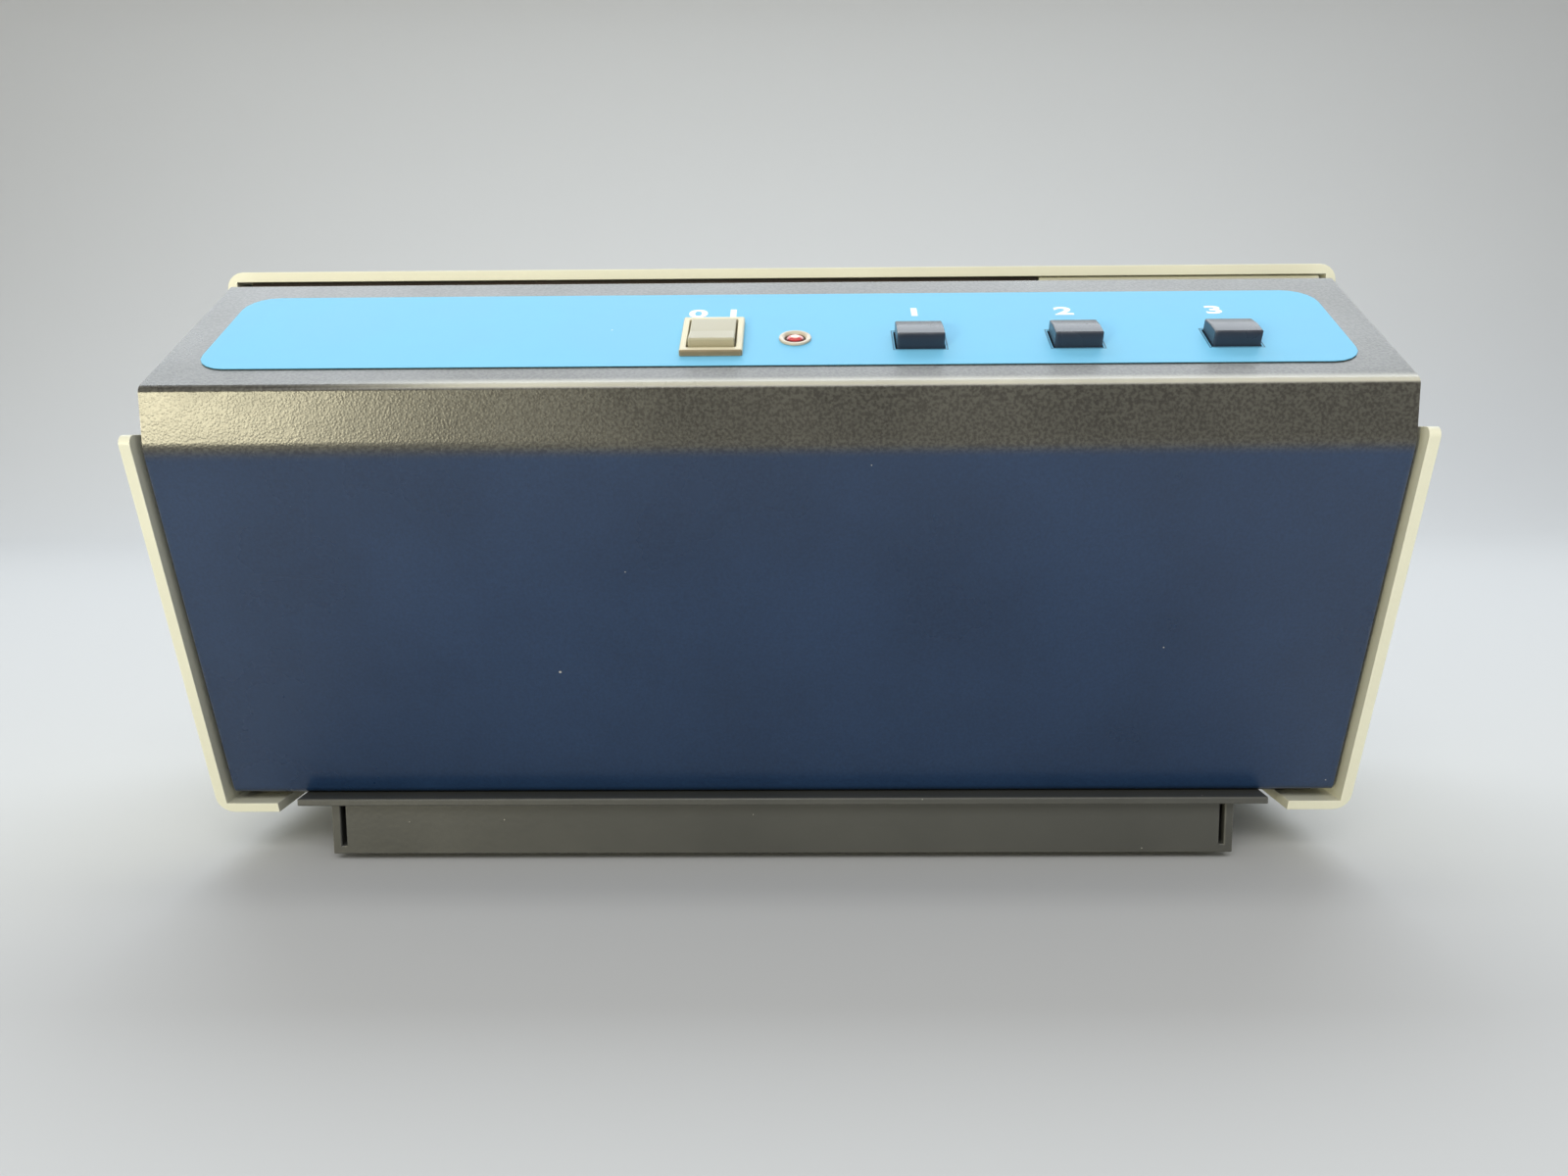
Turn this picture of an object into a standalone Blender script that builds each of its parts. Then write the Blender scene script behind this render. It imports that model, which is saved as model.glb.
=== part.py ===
"""Desktop fluorophotometer: a dark folded cover in a cream shell, on a low sheet-metal pedestal.

Metres, +Z up. The controls face -Y, +X is to the viewer's right, and the origin is on the floor
under the middle of the object. Depths are measured back from the fold between the control panel
and the band below it, and the whole instrument is then shifted so that it is centred.
"""
import math

import bmesh
import bpy
from mathutils import Matrix, Vector

# Clearances and mesh fineness
TOUCH_GAP = 0.0003
CUT_OVERRUN = 0.003
ROUND_SEGMENTS = 24
SMALL_SEGMENTS = 14
ARC_SEGMENTS = 5
SMOOTH_ANGLE = math.radians(35)
ROUND_PROFILE_SHARE = 0.5

# Feet
FOOT_RADIUS = 0.007
FOOT_HEIGHT = 0.0017
FOOT_CHAMFER = 0.0005
FOOT_INSET = 0.014

# Pedestal tray, one folded sheet with a slit at each corner
TRAY_SIDE_MARGIN = 0.015
TRAY_REAR_MARGIN = 0.008
TRAY_HEIGHT = 0.0147
TRAY_SHEET = 0.0024
TRAY_SLIT = 0.0013
TRAY_FLANGE = 0.012
TRAY_SETBACK = 0.004

# Base plate
PLATE_THICKNESS = 0.002
PLATE_TONGUE_MARGIN = 0.007
PLATE_TONGUE_REACH = 0.0057
PLATE_SIDE_GAP = 0.0005
PLATE_SHOULDER = 0.008
PLATE_LAP = 0.010

# Front cover
COVER_WIDTH = 0.305
COVER_SHEET = 0.002
FACE_HEIGHT = 0.098
FACE_UNDERCUT = math.radians(20.9)
BAND_HEIGHT = 0.0129
BAND_LEAN = math.radians(1.4)
PANEL_LENGTH = 0.0622
PANEL_SLOPE = math.radians(28.1)
COVER_TONGUE = 0.022
COVER_FLANGE = 0.014
FOLD_RADIUS = 0.0022
BAND_RADIUS = 0.009
BACK_RADIUS = 0.003
HEM_RADIUS = 0.0026

# Rear shell
SHELL_WALL = 0.0028
SHELL_SIDE_GAP = 0.0017
SHELL_DEPTH_BEHIND_FOLD = 0.1768
LIP_GAP = 0.0020
LIP_SETBACK = 0.0079
WING_PROUD = 0.0026
WING_DROP = 0.0112
WING_ROUNDING = 0.0020
WING_ROOT_ROUNDING = 0.006
SHELL_CORNER = 0.0045
SHELL_FLANGE_LAP = 0.010
NOTCH_REAR_MARGIN = 0.018
VENT_COUNT = 12
VENT_WIDTH = 0.003
VENT_HEIGHT = 0.034
VENT_PITCH = 0.0075
VENT_STEP_FROM_INLET = 0.048
VENT_DROP = 0.052

# Dark strip in the slot under the lip
SEAL_DEPTH = 0.006
SEAL_RIGHT_MARGIN = 0.084
SEAL_LEFT_MARGIN = 0.004
SEAL_SETBACK = 0.0008

# Overlay on the control panel
LABEL_SIDE_MARGIN = 0.0092
LABEL_LOW = 0.0093
LABEL_TOP_MARGIN = 0.0092
LABEL_CORNER = 0.0080
LABEL_THICKNESS = 0.00025
LABEL_ADHESIVE = 0.0001

# Power switch
SWITCH_STEP_FROM_LED = 0.02085
SWITCH_DROP = 0.0067
BEZEL_WIDTH = 0.0163
BEZEL_LENGTH = 0.0207
BEZEL_HEIGHT = 0.0020
BEZEL_CHAMFER = 0.0004
SWITCH_OPENING_WIDTH = 0.0124
SWITCH_OPENING_LENGTH = 0.0166
SWITCH_WALL = 0.00095
SWITCH_DEPTH = 0.0160
SWITCH_WELL_DEPTH = 0.0100
TERMINAL_WIDTH = 0.0048
TERMINAL_THICKNESS = 0.0008
TERMINAL_LENGTH = 0.008
TERMINAL_OFFSET = 0.0045
ROCKER_WIDTH = 0.0116
ROCKER_LENGTH = 0.0152
ROCKER_CREASE_HEIGHT = 0.0024
ROCKER_FACET = math.radians(6)
ROCKER_TILT = math.radians(5)
ROCKER_PIVOT_DEPTH = 0.0020
ROCKER_FOOT_LENGTH = 0.007
ROCKER_FOOT_DEPTH = 0.0034
ROCKER_SKIRT = 0.0030
TRUNNION_RADIUS = 0.0010
TRUNNION_CLEARANCE = 0.00008
TRUNNION_REACH = 0.0008

# Indicator
LED_STEP_FROM_BUTTON = 0.0312
LED_DROP = 0.00715
LED_FLANGE_RADIUS = 0.0041
LED_FLANGE_HEIGHT = 0.0010
LED_BARREL_RADIUS = 0.0034
LED_BARREL_LENGTH = 0.0075
LED_BORE_RADIUS = 0.0027
LED_RADIUS = 0.0025
LED_DOME_TOP = 0.0012
LED_BODY_LENGTH = 0.0070
LED_LEAD_SIZE = 0.0006
LED_LEAD_SPACING = 0.00254

# Push buttons
BUTTON_PITCH = 0.0391
BUTTON_COUNT = 3
LAST_BUTTON_MARGIN = 0.0383
BUTTON_FRONT_DROP = 0.01315
BUTTON_WIDTH = 0.0119
BUTTON_DEPTH = 0.0098
BUTTON_FRONT_HEIGHT = 0.0044
BUTTON_CREASE_HEIGHT = 0.0042
BUTTON_BACK_HEIGHT = 0.0034
BUTTON_CREASE_SHARE = 0.52
BUTTON_EDGE = 0.0004
BUTTON_HOLE_GAP = 0.0003
BUTTON_FLANGE = 0.0010
BUTTON_FLANGE_THICKNESS = 0.0008
BUTTON_TRAVEL = 0.0020
BUTTON_RELIEF = 0.0004
STEM_RADIUS = 0.0016
WELL_RADIUS = 0.0029
WELL_FLOOR = 0.0010
SWITCH_BODY_SIDE = 0.0116
SPRING_RADIUS = 0.0022
SPRING_WIRE_RADIUS = 0.00025
SPRING_TURNS = 4
SPRING_POINTS_PER_TURN = 9
SPRING_SIDES = 5
SPRING_FREE_SHARE = 0.62

# Control board under the panel
STUD_RADIUS = 0.0020
STUD_LENGTH = 0.0113
BOARD_THICKNESS = 0.0016
BOARD_STEP_LEFT_OF_LED = 0.0068
BOARD_STEP_RIGHT_OF_BUTTON = 0.0204
CONTROL_BOARD_LOW_MARGIN = 0.0007
CONTROL_BOARD_TOP_MARGIN = 0.010
STUD_STEP_LEFT_OF_BUTTON = 0.019
STUD_STEP_RIGHT_OF_BUTTON = 0.0144
STUD_INSET = 0.004
BOARD_SCREW_HEAD_RADIUS = 0.0026
BOARD_SCREW_HEAD_HEIGHT = 0.0014
BOARD_SCREW_RADIUS = 0.0008
BOARD_SCREW_LENGTH = 0.005

# Main board on its posts
MAIN_BOARD_RIGHT_MARGIN = 0.034
MAIN_BOARD_STEP_FROM_DETECTOR = 0.049
MAIN_BOARD_REAR_GAP = 0.004
MAIN_BOARD_HEIGHT = 0.008
POST_RADIUS = 0.003
POST_INSET = 0.006
POST_FLANGE_GAP = 0.0013
POST_SHANK_RADIUS = 0.0013
POST_HEAD_RADIUS = 0.0026
POST_HEAD_HEIGHT = 0.0016
CHIP_LENGTH = 0.036
CHIP_WIDTH = 0.013
CHIP_HEIGHT = 0.0045
CHIP_PITCH = 0.0415
CHIP_MARGIN = 0.008
CHIP_ROW_SHARE = 0.64
HEADER_ROW_SHARE = 0.25
CAPACITOR_RADIUS = 0.0065
CAPACITOR_HEIGHT = 0.018
SOLDER_SINK = 0.0004

# Ribbon between the boards
RIBBON_STEP_FROM_BUTTON = 0.0195
RIBBON_WIDTH = 0.0254
RIBBON_THICKNESS = 0.0009
HEADER_LENGTH = 0.028
HEADER_WIDTH = 0.006
HEADER_HEIGHT = 0.007
RIBBON_STEPS = 12

# Transformer
CORE_WIDTH = 0.054
CORE_DEPTH = 0.026
CORE_HEIGHT = 0.045
CORE_LIMB = 0.009
CORE_MIDDLE_LIMB = 0.018
CORE_STEP_FROM_INLET = 0.030
CORE_REAR_MARGIN = 0.060
COIL_OVERHANG = 0.008
CORE_EAR_LENGTH = 0.010
CORE_EAR_THICKNESS = 0.003

# Optics
OPTICS_SIDE_MARGIN = 0.062
OPTICS_WIDTH = 0.052
OPTICS_DEPTH = 0.050
OPTICS_HEIGHT = 0.046
OPTICS_REAR_GAP = 0.016
BEAM_HEIGHT = 0.026
EMISSION_BORE_RADIUS = 0.008
EXCITATION_BORE_RADIUS = 0.0065
BEAM_SEAT_RADIUS = 0.010
BEAM_SEAT_DEPTH = 0.008
FILTER_THICKNESS = 0.003
LENS_EDGE = 0.002
LENS_CROWN = 0.0025
LENS_STEPS = 5
DETECTOR_RADIUS = 0.014
DETECTOR_LENGTH = 0.030
HOLDER_WIDTH = 0.026
HOLDER_DEPTH = 0.030
HOLDER_SHEET = 0.003
HOLDER_GAP = 0.026
LAMP_RADIUS = 0.006
LAMP_LENGTH = 0.018
LAMP_CAP_RADIUS = 0.0085
LAMP_CAP_LENGTH = 0.009
LAMP_STEPS = 4

# Fibre port on the rear wall
PORT_RADIUS = 0.006
PORT_BORE_RADIUS = 0.0036
PORT_FLANGE_RADIUS = 0.011
PORT_FLANGE_THICKNESS = 0.003
PORT_PROUD = 0.010

# Mains inlet on the rear wall
INLET_SIDE_MARGIN = 0.032
REAR_ROW_RISE = 0.0287
INLET_WIDTH = 0.0270
INLET_TALL = 0.0195
INLET_DEPTH = 0.022
INLET_FLANGE_WIDTH = 0.040
INLET_FLANGE_TALL = 0.0260
INLET_FLANGE_THICKNESS = 0.0025
INLET_WALL = 0.0016
INLET_WELL_DEPTH = 0.016
INLET_PIN_WIDTH = 0.002
INLET_PIN_TALL = 0.004
INLET_PIN_LENGTH = 0.012
INLET_PIN_SPACING = 0.007
INLET_EARTH_RISE = 0.0035

# Fuse holder on the rear wall
FUSE_STEP_FROM_INLET = 0.046
FUSE_BODY_RADIUS = 0.0063
FUSE_BODY_LENGTH = 0.024
FUSE_FLANGE_RADIUS = 0.0090
FUSE_FLANGE_THICKNESS = 0.0030
FUSE_BORE_RADIUS = 0.0044
FUSE_CAP_RADIUS = 0.0072
FUSE_CAP_LENGTH = 0.0080
FUSE_CAP_STEM_RADIUS = 0.0038
FUSE_CAP_STEM_LENGTH = 0.006
FUSE_SLOT_WIDTH = 0.0012
FUSE_SLOT_DEPTH = 0.0014
FUSE_RADIUS = 0.0026
FUSE_BORE_FLOOR = 0.002

# Data socket on the rear wall
DATA_STEP_FROM_OPTICS = 0.070
DATA_WIDTH = 0.0250
DATA_TALL = 0.0100
DATA_FLANGE_WIDTH = 0.039
DATA_FLANGE_TALL = 0.0150
DATA_FLANGE_THICKNESS = 0.0015
DATA_DEPTH = 0.010
DATA_SHROUD = 0.0055
DATA_WALL = 0.0007
DATA_TAPER_SHARE = 0.9

# Screws
SCREW_SHANK_RADIUS = 0.0015
SCREW_HEAD_RADIUS = 0.0030
SCREW_HEAD_HEIGHT = 0.0020
SCREW_TOP_SHARE = 0.7
SCREW_HOLE_GAP = 0.0003
BASE_SCREW_INSET = 0.005
BASE_SCREW_FRONT_STEP = 0.0323
BASE_SCREW_REAR_STEP = 0.006
BASE_SCREW_TIP = 0.002
COVER_SCREW_INSET = 0.035
COVER_SCREW_SHARE = 0.6
COVER_SCREW_TIP = 0.002
TRAY_SCREW_STEP = 0.008
TRAY_SCREW_TIP = 0.001

# Heights that follow from the stack of parts
TRAY_BOTTOM = FOOT_HEIGHT + TOUCH_GAP
TRAY_TOP = TRAY_BOTTOM + TRAY_HEIGHT
PLATE_BOTTOM = TRAY_TOP + TOUCH_GAP
PLATE_TOP = PLATE_BOTTOM + PLATE_THICKNESS
ON_PLATE = PLATE_TOP + TOUCH_GAP
SHELL_FLOOR_TOP = PLATE_BOTTOM - TOUCH_GAP
SHELL_BOTTOM = SHELL_FLOOR_TOP - SHELL_WALL

# The cover's outline, as depth behind the fold and height
BAND_FOOT_HEIGHT = ON_PLATE + FACE_HEIGHT
FOLD_HEIGHT = BAND_FOOT_HEIGHT + BAND_HEIGHT
BAND_FOOT_DEPTH = BAND_HEIGHT * math.tan(BAND_LEAN)
FACE_FOOT_DEPTH = BAND_FOOT_DEPTH + FACE_HEIGHT * math.tan(FACE_UNDERCUT)
PANEL_BACK_DEPTH = PANEL_LENGTH * math.cos(PANEL_SLOPE)
PANEL_BACK_HEIGHT = FOLD_HEIGHT + PANEL_LENGTH * math.sin(PANEL_SLOPE)
COVER_BACK_DEPTH = PANEL_BACK_DEPTH + COVER_TONGUE

# The shell's outline
SHELL_WIDTH = COVER_WIDTH + 2 * (SHELL_SIDE_GAP + SHELL_WALL)
LIP_BOTTOM = PANEL_BACK_HEIGHT + LIP_GAP
SHELL_TOP = LIP_BOTTOM + SHELL_WALL
LIP_DEPTH = PANEL_BACK_DEPTH + LIP_SETBACK
REAR_OUTSIDE = SHELL_DEPTH_BEHIND_FOLD
REAR_INSIDE = REAR_OUTSIDE - SHELL_WALL
WING_TOP = FOLD_HEIGHT - WING_DROP
WING_SHIFT = WING_PROUD / math.cos(FACE_UNDERCUT)
PLATE_FRONT = FACE_FOOT_DEPTH - PLATE_TONGUE_REACH
NOTCH_BACK = REAR_INSIDE - NOTCH_REAR_MARGIN

# Widths of the stack under the case, from the cover inwards
PLATE_HALF_WIDTH = COVER_WIDTH / 2 - COVER_SHEET - PLATE_SIDE_GAP
NOTCH_HALF_WIDTH = PLATE_HALF_WIDTH - SHELL_FLANGE_LAP
TONGUE_HALF_WIDTH = NOTCH_HALF_WIDTH - PLATE_TONGUE_MARGIN
TRAY_HALF_WIDTH = NOTCH_HALF_WIDTH - TRAY_SIDE_MARGIN
TRAY_FRONT = PLATE_FRONT + TRAY_SETBACK
TRAY_BACK = NOTCH_BACK - TRAY_REAR_MARGIN

# Places on the control panel, from the right end of the cover
LAST_BUTTON_X = COVER_WIDTH / 2 - LAST_BUTTON_MARGIN
BUTTON_XS = [LAST_BUTTON_X - BUTTON_PITCH * step for step in reversed(range(BUTTON_COUNT))]
LED_X = BUTTON_XS[0] - LED_STEP_FROM_BUTTON
SWITCH_X = LED_X - SWITCH_STEP_FROM_LED
RIBBON_X = BUTTON_XS[0] + RIBBON_STEP_FROM_BUTTON
LABEL_HALF_WIDTH = COVER_WIDTH / 2 - LABEL_SIDE_MARGIN
LABEL_HIGH = PANEL_LENGTH - LABEL_TOP_MARGIN
LABEL_MIDDLE = (LABEL_LOW + LABEL_HIGH) / 2
SWITCH_UP = LABEL_MIDDLE - SWITCH_DROP
LED_UP = LABEL_MIDDLE - LED_DROP
BUTTON_FRONT = LABEL_MIDDLE - BUTTON_FRONT_DROP
CONTROL_BOARD_LOW = LABEL_LOW + CONTROL_BOARD_LOW_MARGIN
CONTROL_BOARD_LEFT = LED_X - BOARD_STEP_LEFT_OF_LED
CONTROL_BOARD_RIGHT = LAST_BUTTON_X + BOARD_STEP_RIGHT_OF_BUTTON
CONTROL_BOARD_HIGH = LABEL_HIGH - CONTROL_BOARD_TOP_MARGIN
STUD_XS = (BUTTON_XS[0] - STUD_STEP_LEFT_OF_BUTTON, LAST_BUTTON_X + STUD_STEP_RIGHT_OF_BUTTON)
STUD_UPS = (CONTROL_BOARD_LOW + STUD_INSET, CONTROL_BOARD_HIGH - STUD_INSET)

# Places inside the case and on its rear wall
INLET_X = PLATE_HALF_WIDTH - INLET_SIDE_MARGIN
FUSE_X = INLET_X - FUSE_STEP_FROM_INLET
OPTICS_X = OPTICS_SIDE_MARGIN - PLATE_HALF_WIDTH
DATA_X = OPTICS_X + DATA_STEP_FROM_OPTICS
REAR_ROW_HEIGHT = ON_PLATE + REAR_ROW_RISE
BEAM_LEVEL = ON_PLATE + BEAM_HEIGHT
VENT_CENTRE_X = INLET_X - VENT_STEP_FROM_INLET
VENT_CENTRE_HEIGHT = SHELL_TOP - VENT_DROP
CORE_X = INLET_X - CORE_STEP_FROM_INLET
CORE_FRONT = REAR_INSIDE - CORE_REAR_MARGIN
OPTICS_BACK = REAR_INSIDE - OPTICS_REAR_GAP
OPTICS_FRONT = OPTICS_BACK - OPTICS_DEPTH
OPTICS_MIDDLE = (OPTICS_BACK + OPTICS_FRONT) / 2
OPTICS_RIGHT = OPTICS_X + OPTICS_WIDTH / 2
MAIN_BOARD_LEFT = OPTICS_X + DETECTOR_RADIUS + MAIN_BOARD_STEP_FROM_DETECTOR
MAIN_BOARD_RIGHT = PLATE_HALF_WIDTH - MAIN_BOARD_RIGHT_MARGIN
POST_FRONT = FACE_FOOT_DEPTH + COVER_FLANGE + POST_FLANGE_GAP + POST_RADIUS
MAIN_BOARD_FRONT = POST_FRONT - POST_INSET
MAIN_BOARD_BACK = CORE_FRONT - COIL_OVERHANG - MAIN_BOARD_REAR_GAP
MAIN_BOARD_UNDER = ON_PLATE + MAIN_BOARD_HEIGHT + TOUCH_GAP
MAIN_BOARD_TOP = MAIN_BOARD_UNDER + BOARD_THICKNESS
MAIN_HEADER_DEPTH = MAIN_BOARD_FRONT + (MAIN_BOARD_BACK - MAIN_BOARD_FRONT) * HEADER_ROW_SHARE

# Places of the screws under the case
BASE_SCREW_X = PLATE_HALF_WIDTH - BASE_SCREW_INSET
BASE_SCREW_FRONT = FACE_FOOT_DEPTH + BASE_SCREW_FRONT_STEP
BASE_SCREW_BACK = NOTCH_BACK - BASE_SCREW_REAR_STEP
COVER_SCREW_X = TRAY_HALF_WIDTH - COVER_SCREW_INSET
COVER_SCREW_DEPTH = FACE_FOOT_DEPTH + COVER_FLANGE * COVER_SCREW_SHARE
TRAY_SCREW_X = TRAY_HALF_WIDTH - TRAY_SHEET - TRAY_FLANGE / 2
TRAY_SCREW_DEPTH = POST_FRONT + TRAY_SCREW_STEP

# Depths below the panel's outer surface
STUD_TIP = COVER_SHEET + STUD_LENGTH
CONTROL_BOARD_TOP = STUD_TIP + TOUCH_GAP
CONTROL_BOARD_BOTTOM = CONTROL_BOARD_TOP + BOARD_THICKNESS


def face_depth(height):
    """Depth of the front face's outer surface at a height."""
    return BAND_FOOT_DEPTH + (BAND_FOOT_HEIGHT - height) * math.tan(FACE_UNDERCUT)


def fillet(corners, radii):
    """Round an outline's corners: each gets an arc of its radius, or stays sharp at zero."""
    outline = []
    count = len(corners)
    for index, corner in enumerate(corners):
        radius = radii[index]
        if radius <= 0:
            outline.append(corner)
            continue
        here = Vector(corner)
        back = (Vector(corners[index - 1]) - here).normalized()
        ahead = (Vector(corners[(index + 1) % count]) - here).normalized()
        half = back.angle(ahead) / 2
        centre = here + (back + ahead).normalized() * (radius / math.sin(half))
        start = here + back * (radius / math.tan(half)) - centre
        end = here + ahead * (radius / math.tan(half)) - centre
        sweep = math.atan2(start.x * end.y - start.y * end.x, start.dot(end))
        for step in range(ARC_SEGMENTS + 1):
            turned = Matrix.Rotation(sweep * step / ARC_SEGMENTS, 2) @ start
            outline.append(tuple(centre + turned))
    return outline


def inset(corners, distances):
    """Move each side of a clockwise outline inwards by its distance and meet them again."""
    count = len(corners)
    sides = []
    for index in range(count):
        start = Vector(corners[index])
        run = (Vector(corners[(index + 1) % count]) - start).normalized()
        inwards = Vector((run.y, -run.x))
        sides.append((start + inwards * distances[index], run))
    moved = []
    for index in range(count):
        (origin, run), (other, other_run) = sides[index - 1], sides[index]
        cross = run.x * other_run.y - run.y * other_run.x
        gap = other - origin
        along = (gap.x * other_run.y - gap.y * other_run.x) / cross
        moved.append(tuple(origin + run * along))
    return moved


def cover_corners():
    """Outer corners of the cover seen from its right: face foot, band foot, fold, back, tongue."""
    return [
        (FACE_FOOT_DEPTH, ON_PLATE),
        (BAND_FOOT_DEPTH, BAND_FOOT_HEIGHT),
        (0.0, FOLD_HEIGHT),
        (PANEL_BACK_DEPTH, PANEL_BACK_HEIGHT),
        (COVER_BACK_DEPTH, PANEL_BACK_HEIGHT),
        (COVER_BACK_DEPTH, ON_PLATE),
    ]


def shell_outline():
    """Outline of the shell seen from its right, with the stepped mouth at the front."""
    low = SHELL_BOTTOM - CUT_OVERRUN
    high = SHELL_TOP + CUT_OVERRUN
    back = REAR_OUTSIDE + CUT_OVERRUN
    corners = [
        (face_depth(low) - WING_SHIFT, low),
        (face_depth(WING_TOP) - WING_SHIFT, WING_TOP),
        (LIP_DEPTH, WING_TOP),
        (LIP_DEPTH, high),
        (back, high),
        (back, low),
    ]
    return fillet(corners, [0, WING_ROUNDING, WING_ROOT_ROUNDING, 0, 0, 0])


REAR_MOST = REAR_OUTSIDE + TOUCH_GAP + max(PORT_PROUD, FUSE_FLANGE_THICKNESS + TOUCH_GAP + FUSE_CAP_LENGTH)
FRONT_MOST = min(depth for depth, height in shell_outline())
CENTRE_SHIFT = -(REAR_MOST + FRONT_MOST) / 2


def linear(channel):
    """One sRGB channel, 0 to 1, as linear light."""
    if channel <= 0.04045:
        return channel / 12.92
    return ((channel + 0.055) / 1.055) ** 2.4


def material(name, colour, roughness, metallic=0.0, transmission=0.0, emission=0.0):
    """A Principled material from an sRGB colour of 0 to 255."""
    made = bpy.data.materials.new(name)
    made.use_nodes = True
    shader = made.node_tree.nodes["Principled BSDF"]
    red, green, blue = (linear(part / 255) for part in colour)
    shader.inputs["Base Color"].default_value = (red, green, blue, 1)
    shader.inputs["Roughness"].default_value = roughness
    shader.inputs["Metallic"].default_value = metallic
    shader.inputs["Transmission Weight"].default_value = transmission
    shader.inputs["Emission Color"].default_value = (red, green, blue, 1)
    shader.inputs["Emission Strength"].default_value = emission
    made.diffuse_color = (red, green, blue, 1)
    return made


def empty(name, parent=None, location=(0, 0, 0), rotation=(0, 0, 0)):
    """An empty that carries pieces."""
    made = bpy.data.objects.new(name, None)
    made.parent = parent
    made.location = location
    made.rotation_euler = rotation
    bpy.context.scene.collection.objects.link(made)
    return made


def make_object(name, bm, finish, parent, location=(0, 0, 0), rotation=(0, 0, 0)):
    """Turn a bmesh into a named object under a parent."""
    bmesh.ops.recalc_face_normals(bm, faces=bm.faces)
    mesh = bpy.data.meshes.new(name)
    bm.to_mesh(mesh)
    bm.free()
    if finish is not None:
        mesh.materials.append(finish)
    mesh.shade_smooth()
    mesh.set_sharp_from_angle(angle=SMOOTH_ANGLE)
    made = bpy.data.objects.new(name, mesh)
    made.parent = parent
    made.location = location
    made.rotation_euler = rotation
    bpy.context.scene.collection.objects.link(made)
    return made


def apply_tool(target, bm, name, operation="DIFFERENCE", parent=None, location=(0, 0, 0), rotation=(0, 0, 0)):
    """Cut a shape from an object, or join or intersect it, with a hidden tool object."""
    carrier = parent if parent else target.parent
    tool = make_object(name, bm, None, carrier, location, rotation)
    tool.hide_render = True
    tool.display_type = "WIRE"
    boolean = target.modifiers.new(name, "BOOLEAN")
    boolean.operation = operation
    boolean.object = tool
    boolean.solver = "EXACT"
    return tool


def add_box(bm, low, high):
    """Add a closed box between two corners."""
    made = bmesh.ops.create_cube(bm, size=1)["verts"]
    low, high = Vector(low), Vector(high)
    bmesh.ops.scale(bm, vec=high - low, verts=made)
    bmesh.ops.translate(bm, vec=(high + low) / 2, verts=made)
    return made


def add_prism(bm, outline, left, right):
    """Add a closed prism along X over an outline of (Y, Z) points."""
    near = [bm.verts.new((left, y, z)) for y, z in outline]
    far = [bm.verts.new((right, y, z)) for y, z in outline]
    count = len(outline)
    bm.faces.new(near)
    bm.faces.new(list(reversed(far)))
    for index in range(count):
        other = (index + 1) % count
        bm.faces.new((near[other], near[index], far[index], far[other]))


def add_slab(bm, outline, low, high):
    """Add a closed slab along Z over an outline of (X, Y) points."""
    near = [bm.verts.new((x, y, low)) for x, y in outline]
    far = [bm.verts.new((x, y, high)) for x, y in outline]
    count = len(outline)
    bm.faces.new(list(reversed(near)))
    bm.faces.new(far)
    for index in range(count):
        other = (index + 1) % count
        bm.faces.new((near[index], near[other], far[other], far[index]))


def add_turned(bm, profile, segments, closed=False):
    """Add a turned solid about Z from (radius, height) points, or a ring if the profile is closed."""
    rings = []
    for radius, height in profile:
        ring = []
        for step in range(segments):
            angle = 2 * math.pi * step / segments
            ring.append(bm.verts.new((radius * math.cos(angle), radius * math.sin(angle), height)))
        rings.append(ring)
    pairs = list(zip(rings, rings[1:]))
    if closed:
        pairs.append((rings[-1], rings[0]))
    for lower, upper in pairs:
        for step in range(segments):
            other = (step + 1) % segments
            bm.faces.new((lower[step], lower[other], upper[other], upper[step]))
    if not closed:
        bm.faces.new(list(reversed(rings[0])))
        bm.faces.new(rings[-1])
    return [vertex for ring in rings for vertex in ring]


def turn_to(bm, vertices, axis, centre):
    """Lay vertices made about +Z along an axis and move them to a centre."""
    quarter = Vector((0, 0, 1)).rotation_difference(Vector(axis)).to_matrix()
    bmesh.ops.rotate(bm, cent=(0, 0, 0), matrix=quarter, verts=vertices)
    bmesh.ops.translate(bm, vec=centre, verts=vertices)


def add_rod(bm, radius, start, length, axis, segments=SMALL_SEGMENTS):
    """Add a plain round rod from a start point along an axis."""
    made = add_turned(bm, [(radius, 0.0), (radius, length)], segments)
    turn_to(bm, made, axis, start)


def screw_mesh(shank_length):
    """Pan-head screw about Z: the head below zero, the shank above."""
    bm = bmesh.new()
    profile = [
        (SCREW_HEAD_RADIUS * SCREW_TOP_SHARE, -SCREW_HEAD_HEIGHT),
        (SCREW_HEAD_RADIUS, -SCREW_HEAD_HEIGHT / 2),
        (SCREW_HEAD_RADIUS, 0.0),
        (SCREW_SHANK_RADIUS, 0.0),
        (SCREW_SHANK_RADIUS, shank_length),
    ]
    add_turned(bm, profile, SMALL_SEGMENTS)
    return bm


def round_edges(bm, edges, radius, segments=2):
    """Round some edges."""
    bmesh.ops.bevel(
        bm,
        geom=edges,
        offset=radius,
        segments=segments,
        profile=ROUND_PROFILE_SHARE,
        affect="EDGES",
    )


def rounded_box(bm, low, high, radius, segments):
    """Add a box with every edge rounded."""
    made = add_box(bm, low, high)
    round_edges(bm, list({edge for vertex in made for edge in vertex.link_edges}), radius, segments)


def hole(radius):
    """Radius of a hole for a shank."""
    return radius + SCREW_HOLE_GAP


def rear_place(x, height):
    """A place on the outside of the rear wall."""
    return (x, REAR_OUTSIDE, height)


LABEL_TOP = LABEL_ADHESIVE + LABEL_THICKNESS
ON_LABEL = LABEL_TOP + LABEL_ADHESIVE


def sides(value):
    """The value on the left and on the right."""
    return (-value, value)


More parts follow.
